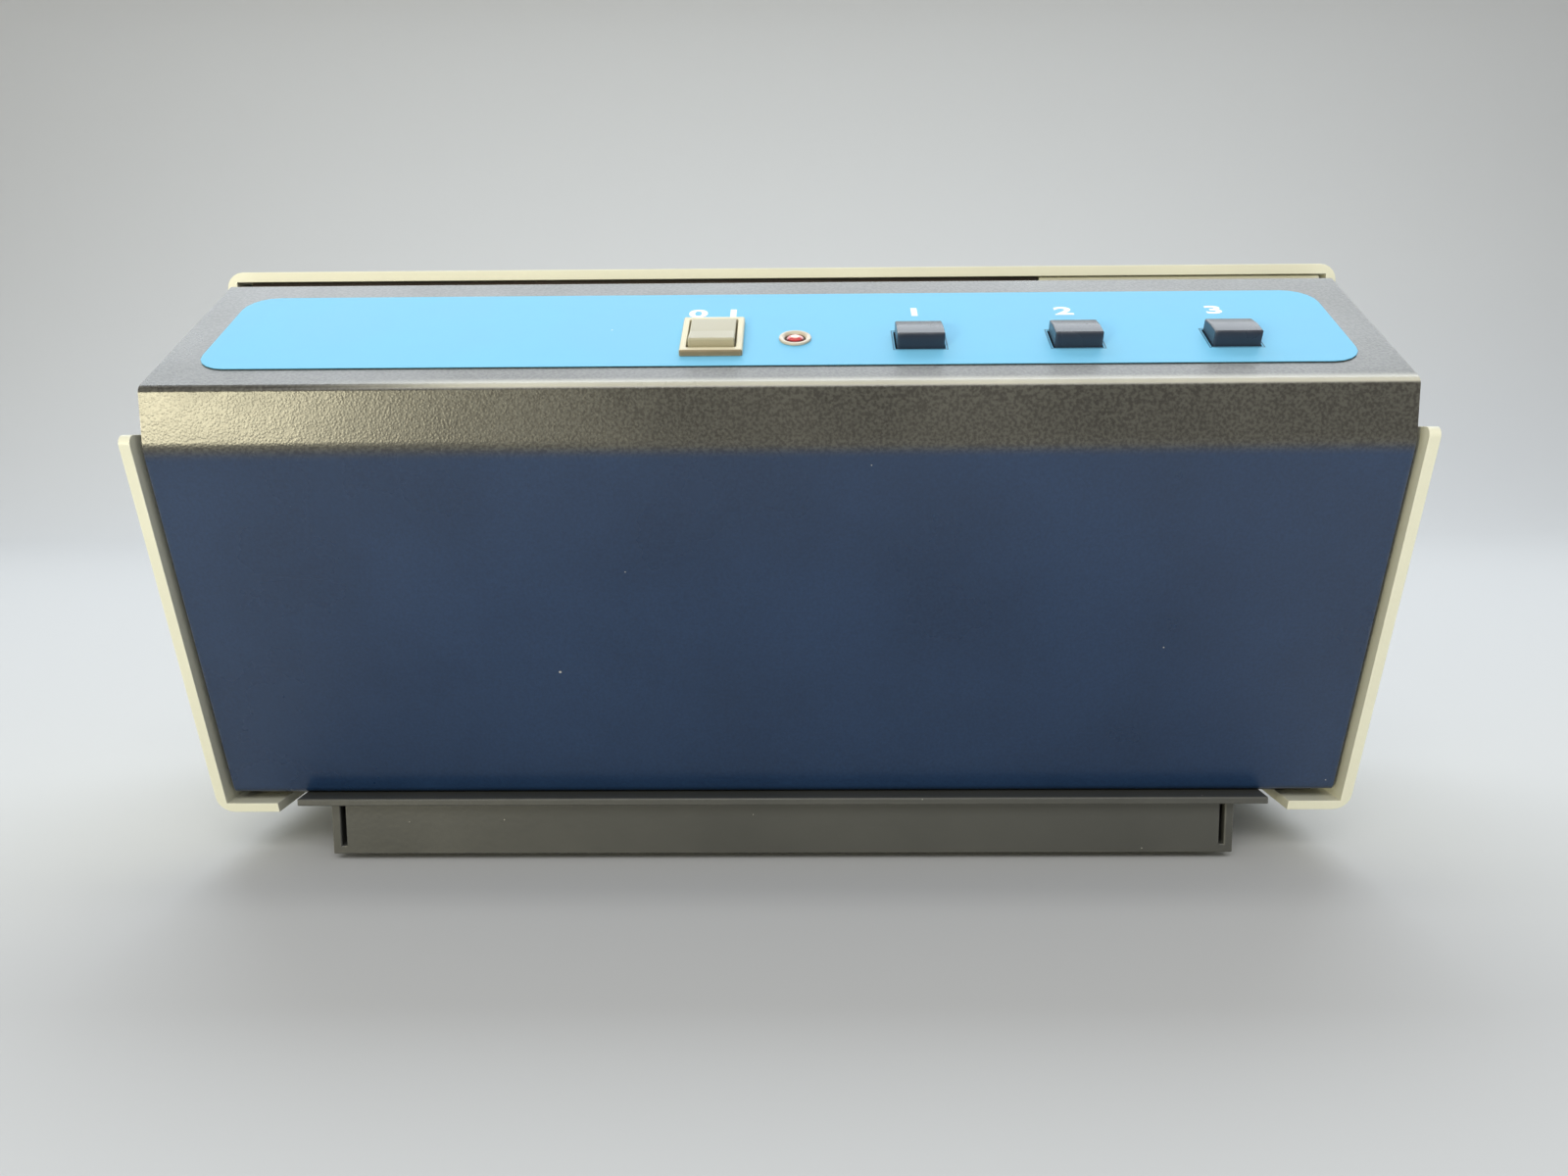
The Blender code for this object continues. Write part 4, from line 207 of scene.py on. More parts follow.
@dataclass
class Shape:
    """Points and faces of a surface before it becomes a piece."""

    points: Array
    faces: list[list[int]]

    @staticmethod
    def lofted(rings: Array, caps: bool = True, loop: bool = False) -> "Shape":
        """A skin over rings of equal count: quads join each ring to the next, all the way round.

        Args:
            rings: an array of rings by points by three.
            caps: whether the first and the last ring are closed with one face each.
            loop: whether the last ring also joins the first.

        Returns:
            The skin.
        """
        count, around = rings.shape[:2]
        rows = np.arange(count if loop else count - 1)[:, None]
        column = np.arange(around)[None]
        here, there = rows * around, (rows + 1) % count * around
        after = (column + 1) % around
        quads = np.stack([here + column, here + after, there + after, there + column], -1)
        faces = quads.reshape(-1, 4).tolist()
        if caps and not loop:
            faces.append(list(range(around))[::-1])
            faces.append([(count - 1) * around + index for index in range(around)])
        return Shape(rings.reshape(-1, 3), faces)

    @staticmethod
    def turned(profile: Array, around: int = 48, loop: bool = False) -> "Shape":
        """A turned solid: each (radius, height) of the profile goes once round Z."""
        angle = np.linspace(0, FULL_TURN, around, endpoint=False)
        return Shape.lofted(circled(profile[:, :1], profile[:, 1:], angle), loop=loop)

    @staticmethod
    def rod(radius: float, low: float, high: float) -> "Shape":
        """A plain round rod about Z."""
        return Shape.turned(np.array([[0.0, low], [radius, low], [radius, high], [0.0, high]]), 20)

    @staticmethod
    def rounded_prism(outline: Outline, half_width: float, radius: float) -> "Shape":
        """An outline of (y, z) carried along X, its two end edges rounded.

        At angle a of the rounding, the ring lies at x = half width - radius (1 - cos a) and is inset by
        radius (1 - sin a). One more ring on each side of the rounding keeps the flat faces flat.

        Args:
            outline: the section.
            half_width: half the length along X.
            radius: radius of the end edges.

        Returns:
            The closed solid.
        """
        turn = rounding(half_width, 0.0, radius)
        spare = radius * 1.4
        inset = np.concatenate([[spare], -turn[:, 1], [0.0]])
        across = np.concatenate([[half_width], turn[:, 0], [half_width - spare]])
        section = outline.inset(np.concatenate([inset, inset[::-1]]))
        across = np.concatenate([across, -across[::-1]])
        x = np.broadcast_to(across[:, None, None], section.shape[:2] + (1,))
        return Shape.lofted(np.concatenate([x, section], -1))

    @staticmethod
    def stacked(rings: list[tuple[Outline, float, float]]) -> "Shape":
        """A skin over flat rings.

        Args:
            rings: each ring's outline, its inset and its height along Z.

        Returns:
            The closed skin.
        """
        flat = np.concatenate([outline.inset(np.array([inset])) for outline, inset, _ in rings])
        z = np.broadcast_to(np.array([ring[2] for ring in rings])[:, None, None], flat.shape[:2] + (1,))
        return Shape.lofted(np.concatenate([flat, z], -1))

    @staticmethod
    def bar(outline: Outline, heights: tuple[float, ...], tip: float = 0.0) -> "Shape":
        """A straight bar with a ring at each height along Z, the last one inset by the tip."""
        last = len(heights) - 1
        return Shape.stacked([(outline, tip if row == last else 0.0, z) for row, z in enumerate(heights)])

    @staticmethod
    def joined(shapes: list["Shape"]) -> "Shape":
        """Several shapes as one.

        Args:
            shapes: the shapes.

        Returns:
            One shape, where each face's numbers are raised by the points before it.
        """
        starts = np.cumsum([0] + [len(shape.points) for shape in shapes])
        faces = [[index + start for index in face]
                 for shape, start in zip(shapes, starts) for face in shape.faces]
        return Shape(np.concatenate([shape.points for shape in shapes]), faces)

    def at(self, place: Array) -> "Shape":
        """The shape with other points."""
        return Shape(place, self.faces)

    def moved(self, x: float = 0.0, y: float = 0.0, z: float = 0.0) -> "Shape":
        """The shape moved by three lengths."""
        return self.at(self.points + np.array([x, y, z]))

    def scaled(self, x: float = 1.0, y: float = 1.0, z: float = 1.0) -> "Shape":
        """The shape with its points multiplied by three factors."""
        return self.at(self.points * np.array([x, y, z]))

    def facing_rear(self, centre: Point) -> "Shape":
        """A shape made about Z, laid along +Y at a centre: (x, y, z) becomes (x, z, -y)."""
        x, y, z = self.points.T
        return self.at(np.stack([x, z, -y], -1) + np.array(centre))

    def on_panel(self, place: Pair, rise: float = 0.0) -> "Shape":
        """A shape of (u, v, w), laid on the control panel about a place and a rise above it."""
        return self.at(PANEL.place(self.points, (*place, rise)))


class Grain(Enum):
    """Kinds of fine relief on a finish."""

    SMOOTH = "smooth"
    WRINKLE = "wrinkle"
    PEEL = "peel"
    MOULDED = "moulded"
    BRUSHED = "brushed"
    FOAM = "foam"


@dataclass(frozen=True)
class GrainLook:
    """How one kind of grain is drawn.

    scale counts cells per metre, depth is in metres, and cells is the share of rounded cells in it, where
    the rest is noise.
    """

    scale: float
    depth: float
    strength: float
    stretch: Point = (1.0, 1.0, 1.0)
    cells: float = 0.65


GRAIN_LOOKS = {
    Grain.SMOOTH: GrainLook(900.0, 0.00001, 0.25, cells=0.25),
    Grain.WRINKLE: GrainLook(1700.0, 0.00003, 0.8),
    Grain.PEEL: GrainLook(650.0, 0.00004, 0.5),
    Grain.MOULDED: GrainLook(2600.0, 0.00003, 0.5),
    Grain.BRUSHED: GrainLook(1500.0, 0.00002, 0.5, (0.06, 1.0, 1.0), 0.25),
    Grain.FOAM: GrainLook(1600.0, 0.0002, 1.0),
}


@dataclass(frozen=True)
class Stripes:
    """Soft stripes across x, y or z (0, 1 or 2): their pitch in metres and the colour between them."""

    axis: int
    pitch: float
    between: Rgb


@dataclass(frozen=True)
class Finish:
    """One finish of the instrument, as a painter would note it.

    Colours are sRGB from 0 to 255. mottle is the share by which the colour drifts, drift the same for the
    roughness, specks the share of cells that carry a speck of dust, and edge_wear_and_highlight how
    strongly edges show their lighter colour, which is partly wear and partly a painted highlight.
    """

    name: str
    colour: Rgb
    roughness: float
    slot: str
    metallic: float = 0.0
    specular: float = 0.5
    coat: float = 0.0
    transmission: float = 0.0
    grain: Grain = Grain.MOULDED
    mottle: float = 0.06
    drift: float = 0.05
    specks: float = 0.02
    speck_colour: Rgb = (205, 203, 196)
    edge_wear_and_highlight: float = 0.0
    edge_wear_and_highlight_colour: Rgb = (150, 150, 146)
    stripes: Stripes | None = None


COVER_PAINT = Finish(
    "cover_paint", (64, 62, 57), 0.31, "dark_paint", specular=0.7, grain=Grain.WRINKLE, mottle=0.10,
    edge_wear_and_highlight=0.2, edge_wear_and_highlight_colour=(140, 138, 130),
)
CREAM_PAINT = Finish(
    "cream_paint", (227, 226, 206), 0.42, "cream_shell", grain=Grain.PEEL, mottle=0.03, drift=0.04,
    specks=0.01, speck_colour=(150, 146, 130), edge_wear_and_highlight=0.30, edge_wear_and_highlight_colour=(248, 247, 236),
)
STEEL_PAINT = Finish(
    "pedestal_paint", (67, 68, 65), 0.42, "dark_steel", specular=0.7, grain=Grain.PEEL, mottle=0.08,
    specks=0.12, edge_wear_and_highlight=0.25, edge_wear_and_highlight_colour=(132, 131, 124),
)
OVERLAY_FILM = Finish(
    "overlay_film", (121, 195, 234), 0.5, "blue_overlay", specular=0.12, grain=Grain.SMOOTH, mottle=0.03,
    drift=0.03, specks=0.012, speck_colour=(235, 240, 242),
)
MARK_INK = Finish(
    "mark_ink", (246, 248, 248), 0.45, "blue_overlay", grain=Grain.SMOOTH, mottle=0.02, specks=0.0,
)
SEAL_FOAM = Finish("seal_foam", (52, 43, 37), 0.95, "foam", grain=Grain.FOAM, mottle=0.2, specks=0.05)
BEIGE_PLASTIC = Finish(
    "beige_plastic", (170, 164, 139), 0.42, "beige_plastic", mottle=0.04, specks=0.01,
    speck_colour=(120, 112, 96), edge_wear_and_highlight=0.12, edge_wear_and_highlight_colour=(232, 228, 208),
)
FRAME_PLASTIC = Finish(
    "frame_plastic", (218, 210, 181), 0.46, "beige_plastic", mottle=0.05, specks=0.015,
    speck_colour=(110, 102, 86), edge_wear_and_highlight=0.2, edge_wear_and_highlight_colour=(222, 216, 194),
)
RING_PLASTIC = Finish("ring_plastic", (198, 187, 168), 0.3, "pale_plastic", mottle=0.04, edge_wear_and_highlight=0.1)
RED_LENS = Finish(
    "red_lens", (196, 38, 44), 0.25, "red_lens", coat=0.5, grain=Grain.SMOOTH, mottle=0.05, specks=0.0,
)
BUTTON_PLASTIC = Finish(
    "button_plastic", (40, 46, 60), 0.26, "button_plastic", grain=Grain.SMOOTH, specks=0.012, edge_wear_and_highlight=0.3,
    edge_wear_and_highlight_colour=(150, 152, 160),
)
BLACK_PLASTIC = Finish("black_plastic", (38, 38, 40), 0.42, "black_plastic", mottle=0.08, edge_wear_and_highlight=0.15)
RUBBER = Finish("foot_rubber", (34, 34, 34), 0.8, "rubber", mottle=0.12, specks=0.05)
PLATED_STEEL = Finish(
    "plated_steel", (188, 187, 182), 0.28, "steel", metallic=1.0, grain=Grain.BRUSHED, drift=0.12,
)
CORE_STEEL = Finish(
    "core_steel", (112, 112, 114), 0.45, "core_steel", metallic=0.9, grain=Grain.BRUSHED, mottle=0.12,
    drift=0.1, stripes=Stripes(1, 0.0007, (70, 68, 66)),
)
BLACK_ALLOY = Finish(
    "black_alloy", (42, 42, 44), 0.42, "black_alloy", metallic=0.4, grain=Grain.PEEL, edge_wear_and_highlight=0.2,
)
GREY_ALLOY = Finish("grey_alloy", (164, 166, 170), 0.36, "grey_alloy", metallic=0.9, grain=Grain.BRUSHED)
BRASS = Finish(
    "plain_brass", (196, 168, 100), 0.3, "brass", metallic=1.0, grain=Grain.BRUSHED, mottle=0.1, drift=0.1,
)
GREEN_GLASS = Finish(
    "green_glass", (70, 170, 84), 0.06, "green_glass", transmission=0.7, grain=Grain.SMOOTH, specks=0.01,
)
BLUE_GLASS = Finish(
    "blue_glass", (64, 92, 208), 0.06, "blue_glass", transmission=0.7, grain=Grain.SMOOTH, specks=0.01,
)
CLEAR_GLASS = Finish(
    "clear_glass", (236, 240, 240), 0.04, "clear_glass", transmission=0.9, grain=Grain.SMOOTH, specks=0.01,
)
RIBBON_SHEATH = Finish(
    "ribbon_sheath", (170, 170, 172), 0.5, "ribbon", stripes=Stripes(0, 0.00127, (128, 128, 131)),
)
COIL_WINDING = Finish(
    "coil_winding", (198, 158, 82), 0.45, "coil", mottle=0.14, stripes=Stripes(2, 0.0008, (120, 84, 36)),
)
LAMINATE = Finish("board_laminate", (38, 108, 68), 0.4, "laminate", coat=0.4, mottle=0.1)


def linear(channel: float) -> float:
    """One sRGB channel, 0 to 1, as linear light."""
    return channel / 12.92 if channel <= 0.04045 else ((channel + 0.055) / 1.055) ** 2.4


def light_of(colour: Rgb) -> tuple[float, float, float, float]:
    """An sRGB colour of 0 to 255 as linear light with full alpha."""
    return (*(linear(part / 255) for part in colour), 1.0)


class NodeSheet:
    """Adds nodes to one node tree and joins their sockets."""

    def __init__(self, tree: Tree) -> None:
        """Keep the tree."""
        self.tree = tree

    def add(self, kind: str, inputs: dict[str | int, object] | None = None,
            **settings: object) -> bpy.types.Node:
        """Add a node.

        Args:
            kind: Blender's name for the node.
            inputs: a value or a socket to join, by input name or number.
            settings: the node's own properties.

        Returns:
            The node.
        """
        node = self.tree.nodes.new(kind)
        for key, value in settings.items():
            setattr(node, key, value)
        for key, value in (inputs or {}).items():
            self.feed(node.inputs[key], value)
        return node

    def feed(self, target: Socket, value: object) -> None:
        """Join a socket to an input, or set the input's value.

        Args:
            target: the input.
            value: a socket, or a value.
        """
        if isinstance(value, Socket):
            self.tree.links.new(value, target)
        else:
            target.default_value = value

    def calc(self, operation: str, first: object, second: object = 0.0, clamp: bool = False) -> Socket:
        """One step of arithmetic."""
        node = self.add("ShaderNodeMath", {0: first, 1: second}, operation=operation, use_clamp=clamp)
        return node.outputs[0]

    def product(self, first: object, *others: object) -> Socket:
        """All factors multiplied in order.

        Args:
            first: the first factor.
            others: the other factors.

        Returns:
            The product.
        """
        for other in others:
            first = self.calc("MULTIPLY", first, other)
        return first

    def span(self, value: object, low: object, high: object, start: object = 0.0, end: object = 1.0,
             soft: bool = True) -> Socket:
        """Map a value from one range to another, clamped.

        Args:
            value: what is mapped.
            low: the value that becomes the start.
            high: the value that becomes the end.
            start: the result at low.
            end: the result at high.
            soft: whether the change begins and ends gently.

        Returns:
            The result.
        """
        kind = "SMOOTHSTEP" if soft else "LINEAR"
        inputs = {"Value": value, "From Min": low, "From Max": high, "To Min": start, "To Max": end}
        return self.add("ShaderNodeMapRange", inputs, interpolation_type=kind).outputs["Result"]

    def blend(self, factor: object, first: Socket | Rgb, second: Socket | Rgb, mode: str = "MIX") -> Socket:
        """Mix two colours: sockets, or sRGB colours of 0 to 255.

        Args:
            factor: the second colour's share.
            first: the first colour.
            second: the second colour.
            mode: Blender's name for the way of mixing.

        Returns:
            The mix.
        """
        one, two = (part if isinstance(part, Socket) else light_of(part) for part in (first, second))
        node = self.add("ShaderNodeMix", {0: factor, 6: one, 7: two}, data_type="RGBA", blend_type=mode)
        return node.outputs[2]

    def noise(self, place: Socket, scale: object, detail: float, roughness: float = 0.5) -> Socket:
        """Soft noise from 0 to 1."""
        inputs = {"Vector": place, "Scale": scale, "Detail": detail, "Roughness": roughness}
        return self.add("ShaderNodeTexNoise", inputs).outputs["Fac"]

    def parts(self, vector: Socket) -> tuple[Socket, ...]:
        """The three parts of a vector."""
        return tuple(self.add("ShaderNodeSeparateXYZ", {"Vector": vector}).outputs)

    def joined(self, x: object, y: object, z: object) -> Socket:
        """A vector of three parts."""
        return self.add("ShaderNodeCombineXYZ", {0: x, 1: y, 2: z}).outputs[0]


class SharedEffects:
    """The node groups that several materials use, each built once.

    Scales count features per metre, and a pair is where an effect begins and where it is full.
    """

    cell_falloff: Pair = (0.1, 0.75)
    drift_scale: float = 22.0
    drift_range: Pair = (0.3, 0.7)
    speck_scale: float = 260.0
    speck_sizes: Pair = (0.03, 0.10)
    scuff_turn: Point = (0.0, 0.35, 0.5)
    scuff_scale: Point = (9.0, 160.0, 160.0)
    scuff_range: Pair = (0.66, 0.78)
    edge_lean: Pair = (0.99, 0.86)
    edge_scale: float = 210.0
    edge_range: Pair = (0.38, 0.62)
    least_edge: float = 0.25

    def __init__(self) -> None:
        """Build the groups."""
        self.grain = self._grain()
        self.soil = self._soil()
        self.edge = self._edge()

    @staticmethod
    def _start(name: str, given: tuple[str, ...], made: tuple[str, ...]) -> tuple[NodeSheet, object, object]:
        """Begin a group that has a vector and floats as inputs, and floats as outputs.

        Args:
            name: the group's name.
            given: names of its float inputs.
            made: names of its outputs.

        Returns:
            The group's sheet, what it is given and what it makes.
        """
        tree = bpy.data.node_groups.new(name, "ShaderNodeTree")
        tree.interface.new_socket(name="Vector", in_out="INPUT", socket_type="NodeSocketVector")
        for labels, side in ((given, "INPUT"), (made, "OUTPUT")):
            for label in labels:
                tree.interface.new_socket(name=label, in_out=side, socket_type="NodeSocketFloat")
        sheet = NodeSheet(tree)
        return sheet, sheet.add("NodeGroupInput").outputs, sheet.add("NodeGroupOutput").inputs

    def _grain(self) -> Tree:
        """Fine relief: rounded cells broken up by noise, as one height from 0 to 1."""
        sheet, given, made = self._start("fine_grain", ("Scale", "Cells"), ("Height",))
        noise = sheet.noise(given["Vector"], given["Scale"], 3.0, 0.6)
        inputs = {"Vector": given["Vector"], "Scale": given["Scale"], "Smoothness": 0.6}
        cells = sheet.add("ShaderNodeTexVoronoi", inputs, feature="SMOOTH_F1")
        rounded = sheet.span(cells.outputs["Distance"], *self.cell_falloff, 1.0, 0.0)
        height = sheet.add("ShaderNodeMix", {0: given["Cells"], 2: noise, 3: rounded}, data_type="FLOAT")
        sheet.feed(made["Height"], height.outputs[0])
        return sheet.tree

    def _soil(self) -> Tree:
        """Use and age: a soft drift, sparse round specks and faint long scuffs, each from 0 to 1."""
        sheet, given, made = self._start("use_and_age", ("Specks",), ("Drift", "Specks", "Scuffs"))
        place = given["Vector"]
        drift = sheet.noise(place, self.drift_scale, 5.0, 0.55)
        sheet.feed(made["Drift"], sheet.span(drift, *self.drift_range))

        cells = sheet.add("ShaderNodeTexVoronoi", {"Vector": place, "Scale": self.speck_scale})
        tint = sheet.add("ShaderNodeSeparateColor", {"Color": cells.outputs["Color"]})
        chosen = sheet.calc("LESS_THAN", tint.outputs[0], given["Specks"])
        size = sheet.span(tint.outputs[1], 0.0, 1.0, *self.speck_sizes, soft=False)
        dot = sheet.calc("LESS_THAN", cells.outputs["Distance"], size)
        sheet.feed(made["Specks"], sheet.product(chosen, dot))

        inputs = {"Vector": place, "Rotation": self.scuff_turn, "Scale": self.scuff_scale}
        drawn_out = sheet.add("ShaderNodeMapping", inputs).outputs[0]
        sheet.feed(made["Scuffs"], sheet.span(sheet.noise(drawn_out, 1.0, 2.0), *self.scuff_range))
        return sheet.tree

    def _edge(self) -> Tree:
        """Edge wear and painted highlight: how far the rounded normal leans from the true one, broken up by
        noise.
        """
        sheet, given, made = self._start("edge_wear_and_painted_highlight", ("Radius",), ("Edge",))
        soft = sheet.add("ShaderNodeBevel", {"Radius": given["Radius"]}, samples=4).outputs[0]
        true = sheet.add("ShaderNodeNewGeometry").outputs["Normal"]
        lean = sheet.add("ShaderNodeVectorMath", {0: soft, 1: true}, operation="DOT_PRODUCT")
        edge = sheet.span(lean.outputs["Value"], *self.edge_lean)
        patchy = sheet.noise(given["Vector"], self.edge_scale, 4.0)
        broken = sheet.span(patchy, *self.edge_range, self.least_edge, 1.0)
        sheet.feed(made["Edge"], sheet.product(edge, broken))
        return sheet.tree


class Coating(NodeSheet):
    """The nodes of one finish's material, with the effects that all materials share."""

    coat_roughness: float = 0.12
    edge_mask_radius: float = 0.0011
    dust_share: float = 0.7
    scuff_share: float = 0.05

    def __init__(self, finish: Finish, effects: SharedEffects) -> None:
        """Begin the material.

        Args:
            finish: the finish to mix.
            effects: the shared node groups.
        """
        self.finish, self.effects = finish, effects
        self.material = bpy.data.materials.new(finish.name)
        self.material.use_nodes = True
        self.material.diffuse_color = light_of(finish.colour)
        super().__init__(self.material.node_tree)
        self.place = self.add("ShaderNodeTexCoord").outputs["Object"]
        inputs = {"Vector": self.place, "Specks": finish.specks}
        self.soil = self.add("ShaderNodeGroup", inputs, node_tree=effects.soil).outputs

    def mixed(self) -> bpy.types.Material:
        """The material, with its colour, its roughness and its relief."""
        finish = self.finish
        colour, relief = self._pattern()
        low, high = finish.roughness - finish.drift, finish.roughness + finish.drift
        rough = self.span(self.soil["Drift"], 0.0, 1.0, low, high, soft=False)
        scuffed = self.product(self.soil["Scuffs"], self.scuff_share)
        inputs = {
            "Base Color": self._aged(colour),
            "Roughness": self.calc("ADD", rough, scuffed, clamp=True),
            "Normal": self._relief(relief),
            "Metallic": finish.metallic,
            "Specular IOR Level": finish.specular,
            "Coat Weight": finish.coat,
            "Coat Roughness": self.coat_roughness,
            "Transmission Weight": finish.transmission,
        }
        for label, value in inputs.items():
            self.feed(self.tree.nodes["Principled BSDF"].inputs[label], value)
        return self.material

    def _aged(self, colour: Socket | Rgb) -> Socket:
        """A colour with its drift, its edges lightened by wear and a painted highlight, and its specks of
        dust.

        Args:
            colour: the finish's own colour or pattern.

        Returns:
            The aged colour.
        """
        finish = self.finish
        drift = self.span(self.soil["Drift"], 0.0, 1.0, 1 - finish.mottle, 1 + finish.mottle, soft=False)
        colour = self.blend(1.0, colour, self.joined(drift, drift, drift), "MULTIPLY")
        # Edge colour: partly wear, and partly a painted highlight where rounded edges would catch the light.
        if finish.edge_wear_and_highlight:
            inputs = {"Vector": self.place, "Radius": self.edge_mask_radius}
            edge = self.add("ShaderNodeGroup", inputs, node_tree=self.effects.edge).outputs["Edge"]
            colour = self.blend(self.product(edge, finish.edge_wear_and_highlight), colour, finish.edge_wear_and_highlight_colour)
        return self.blend(self.product(self.soil["Specks"], self.dust_share), colour, finish.speck_colour)

    def _relief(self, share: Socket | None) -> Socket:
        """The bumped normal.

        Args:
            share: the share of the grain's height that shows, or None for all of it.

        Returns:
            The normal.
        """
        look = GRAIN_LOOKS[self.finish.grain]
        laid = self.add("ShaderNodeMapping", {"Vector": self.place, "Scale": look.stretch}).outputs[0]
        inputs = {"Vector": laid, "Scale": look.scale, "Cells": look.cells}
        height = self.add("ShaderNodeGroup", inputs, node_tree=self.effects.grain).outputs["Height"]
        if share is not None:
            height = self.product(height, share)
        inputs = {"Height": height, "Distance": look.depth, "Strength": look.strength}
        return self.add("ShaderNodeBump", inputs).outputs[0]

    def _pattern(self) -> tuple[Socket | Rgb, Socket | None]:
        """The finish's own pattern.

        Returns:
            The colour, and the share of the grain's height that shows, or None for all of it.
        """
        if self.finish is COVER_PAINT:
            return self._folded_paint()
        if self.finish.stripes:
            return self._striped()
        drawn = {
            OVERLAY_FILM.name: self._cut_lines, FRAME_PLASTIC.name: self._painted_shade_on_front,
            RED_LENS.name: self._lens_painted_highlight, LAMINATE.name: self._board_colours,
        }.get(self.finish.name)
        return (drawn() if drawn else self.finish.colour), None

    def _striped(self) -> tuple[Socket, Socket]:
        """Soft stripes: the sine of one coordinate, at one turn for each pitch."""
        stripes = self.finish.stripes
        turn = self.product(self.parts(self.place)[stripes.axis], FULL_TURN / stripes.pitch)
        ridge = self.span(self.calc("SINE", turn), -1.0, 0.6)
        return self.blend(ridge, stripes.between, self.finish.colour), ridge

    def _folded_paint(self) -> tuple[Socket, Socket]:
        """The cover's paint: a navy painted reflection on the large face, its warm grey above the bend, and a
        painted highlight along the fold.

        The painted highlight is a pale line on the panel at its fold. It fades out 4 mm up the slope, and to
        the left.
        """
        bend, fleck_scale, fold_highlight_share, low_relief = (0.1122, 0.1160), 1250.0, 0.85, 0.35
        start, fade, left, skin = (-0.0004, 0.0002), (0.0040, 0.0004), (-0.12, -0.06), (-0.004, -0.002)
        above = self.span(self.parts(self.place)[2], *bend)
        flecks = self.noise(self.place, fleck_scale, 2.0)
        warm = self.blend(self.span(flecks, 0.36, 0.64), (49, 46, 40), (75, 74, 67))
        # Painted reflection: the navy stands in for a blue floor mirrored by the large face, which turns down
        # and forward.
        navy_painted_reflection = self.blend(flecks, (12, 36, 68), (28, 56, 92))
        u, v, w = self._on_panel()
        # Painted highlight: a pale line stands in for the light that the fold's bend would catch.
        band = self.product(self.span(v, *start), self.span(v, *fade))
        reach = self.product(self.span(u, *left), self.span(w, *skin))
        fold_highlight = self.product(band, reach, fold_highlight_share)
        colour = self.blend(fold_highlight, self.blend(above, navy_painted_reflection, warm), (200, 198, 185))
        return colour, self.span(above, 0.0, 1.0, low_relief, 1.0)

    def _on_panel(self) -> tuple[Socket, ...]:
        """Object coordinates as the panel's own u, v and w."""
        origin, turn = (0.0, PANEL.shift, PANEL.fold_height), (PANEL.slope, 0.0, 0.0)
        inputs = {"Vector": self.place, "Location": origin, "Rotation": turn}
        return self.parts(self.add("ShaderNodeMapping", inputs, vector_type="TEXTURE").outputs[0])

    def _painted_shade_on_front(self) -> Socket:
        """The switch frame's beige, with painted shade on its front side, which faces down: browner by the
        panel's v.
        """
        front_side = (0.01445, 0.01475)
        # Painted shade: the front side is painted brown where it would lie in shadow.
        front = self.span(self._on_panel()[1], *front_side, 1.0, 0.0)
        return self.blend(front, FRAME_PLASTIC.colour, (128, 112, 84))

    def _lens_painted_highlight(self) -> Socket:
        """The dome's colours by the distance from its middle: a painted pale pink highlight, red, then a dark
        red rim.
        """
        highlight_spot, rim = (0.0006, 0.0013), (0.0017, 0.0022)
        squares = [
            self.calc("POWER", self.calc("SUBTRACT", along, middle), 2.0)
            for along, middle in zip(self._on_panel(), PANEL.lamp)
        ]
        reach = self.calc("SQRT", self.calc("ADD", *squares))
        # Painted highlight: the pale pink middle stands in for a reflection of the light on the dome.
        inner = self.blend(self.span(reach, *highlight_spot), (255, 222, 208), RED_LENS.colour)
        return self.blend(self.span(reach, *rim), inner, (92, 26, 24))

    def _cut_lines(self) -> Socket:
        """The film's blue with a fine dark line round each button, where the film was cut.

        On the panel's own u and v, d = max(|u| - half width, |v| - half depth) about each button, and the
        line is where |d| is under its half width. u repeats at the buttons' pitch.
        """
        half_width, half_depth, line, line_share, buttons = 0.0067, 0.0056, (0.0001, 0.00022), 0.8, 3
        (first, row), pitch = PANEL.button, PANEL.pitch
        u, v, _ = self._on_panel()
        from_first = self.calc("SUBTRACT", u, first - pitch / 2)
        wrapped = self.calc("SUBTRACT", self.calc("FLOORED_MODULO", from_first, pitch), pitch / 2)
        across, up = (
            self.calc("SUBTRACT", self.calc("ABSOLUTE", along), half)
            for along, half in ((wrapped, half_width), (self.calc("SUBTRACT", v, row), half_depth))
        )
        cut = self.span(self.calc("ABSOLUTE", self.calc("MAXIMUM", across, up)), *line, 1.0, 0.0)
        inside = self.product(
            self.calc("GREATER_THAN", from_first, 0.0), self.calc("LESS_THAN", from_first, buttons * pitch),
        )
        return self.blend(self.product(cut, inside, line_share), OVERLAY_FILM.colour, (46, 84, 116))

    def _board_colours(self) -> Socket:
        """Green board with pale pads, and black parts between two heights over the main board."""
        pad_scale, pad_size, surface, parts_top = 190.0, 0.18, 0.02955, 0.08
        x, y, z = self.parts(self.place)
        inputs = {"Vector": self.joined(x, y, 0.0), "Scale": pad_scale}
        cells = self.add("ShaderNodeTexVoronoi", inputs, distance="CHEBYCHEV")
        pads = self.calc("LESS_THAN", cells.outputs["Distance"], pad_size)
        green = self.blend(pads, LAMINATE.colour, (176, 170, 140))
        raised = self.product(
            self.calc("GREATER_THAN", z, surface), self.calc("LESS_THAN", z, parts_top),
        )
        return self.blend(raised, green, (34, 34, 36))


class Painter:
    """Makes each finish into one material, and keeps it for the next piece that asks."""

    def __init__(self) -> None:
        """Build the shared groups."""
        self.effects = SharedEffects()
        self.made: dict[str, bpy.types.Material] = {}

    def material(self, finish: Finish) -> bpy.types.Material:
        """The material of a finish, made at its first use.

        Args:
            finish: the finish.

        Returns:
            Its material.
        """
        if finish.name not in self.made:
            self.made[finish.name] = Coating(finish, self.effects).mixed()
        return self.made[finish.name]


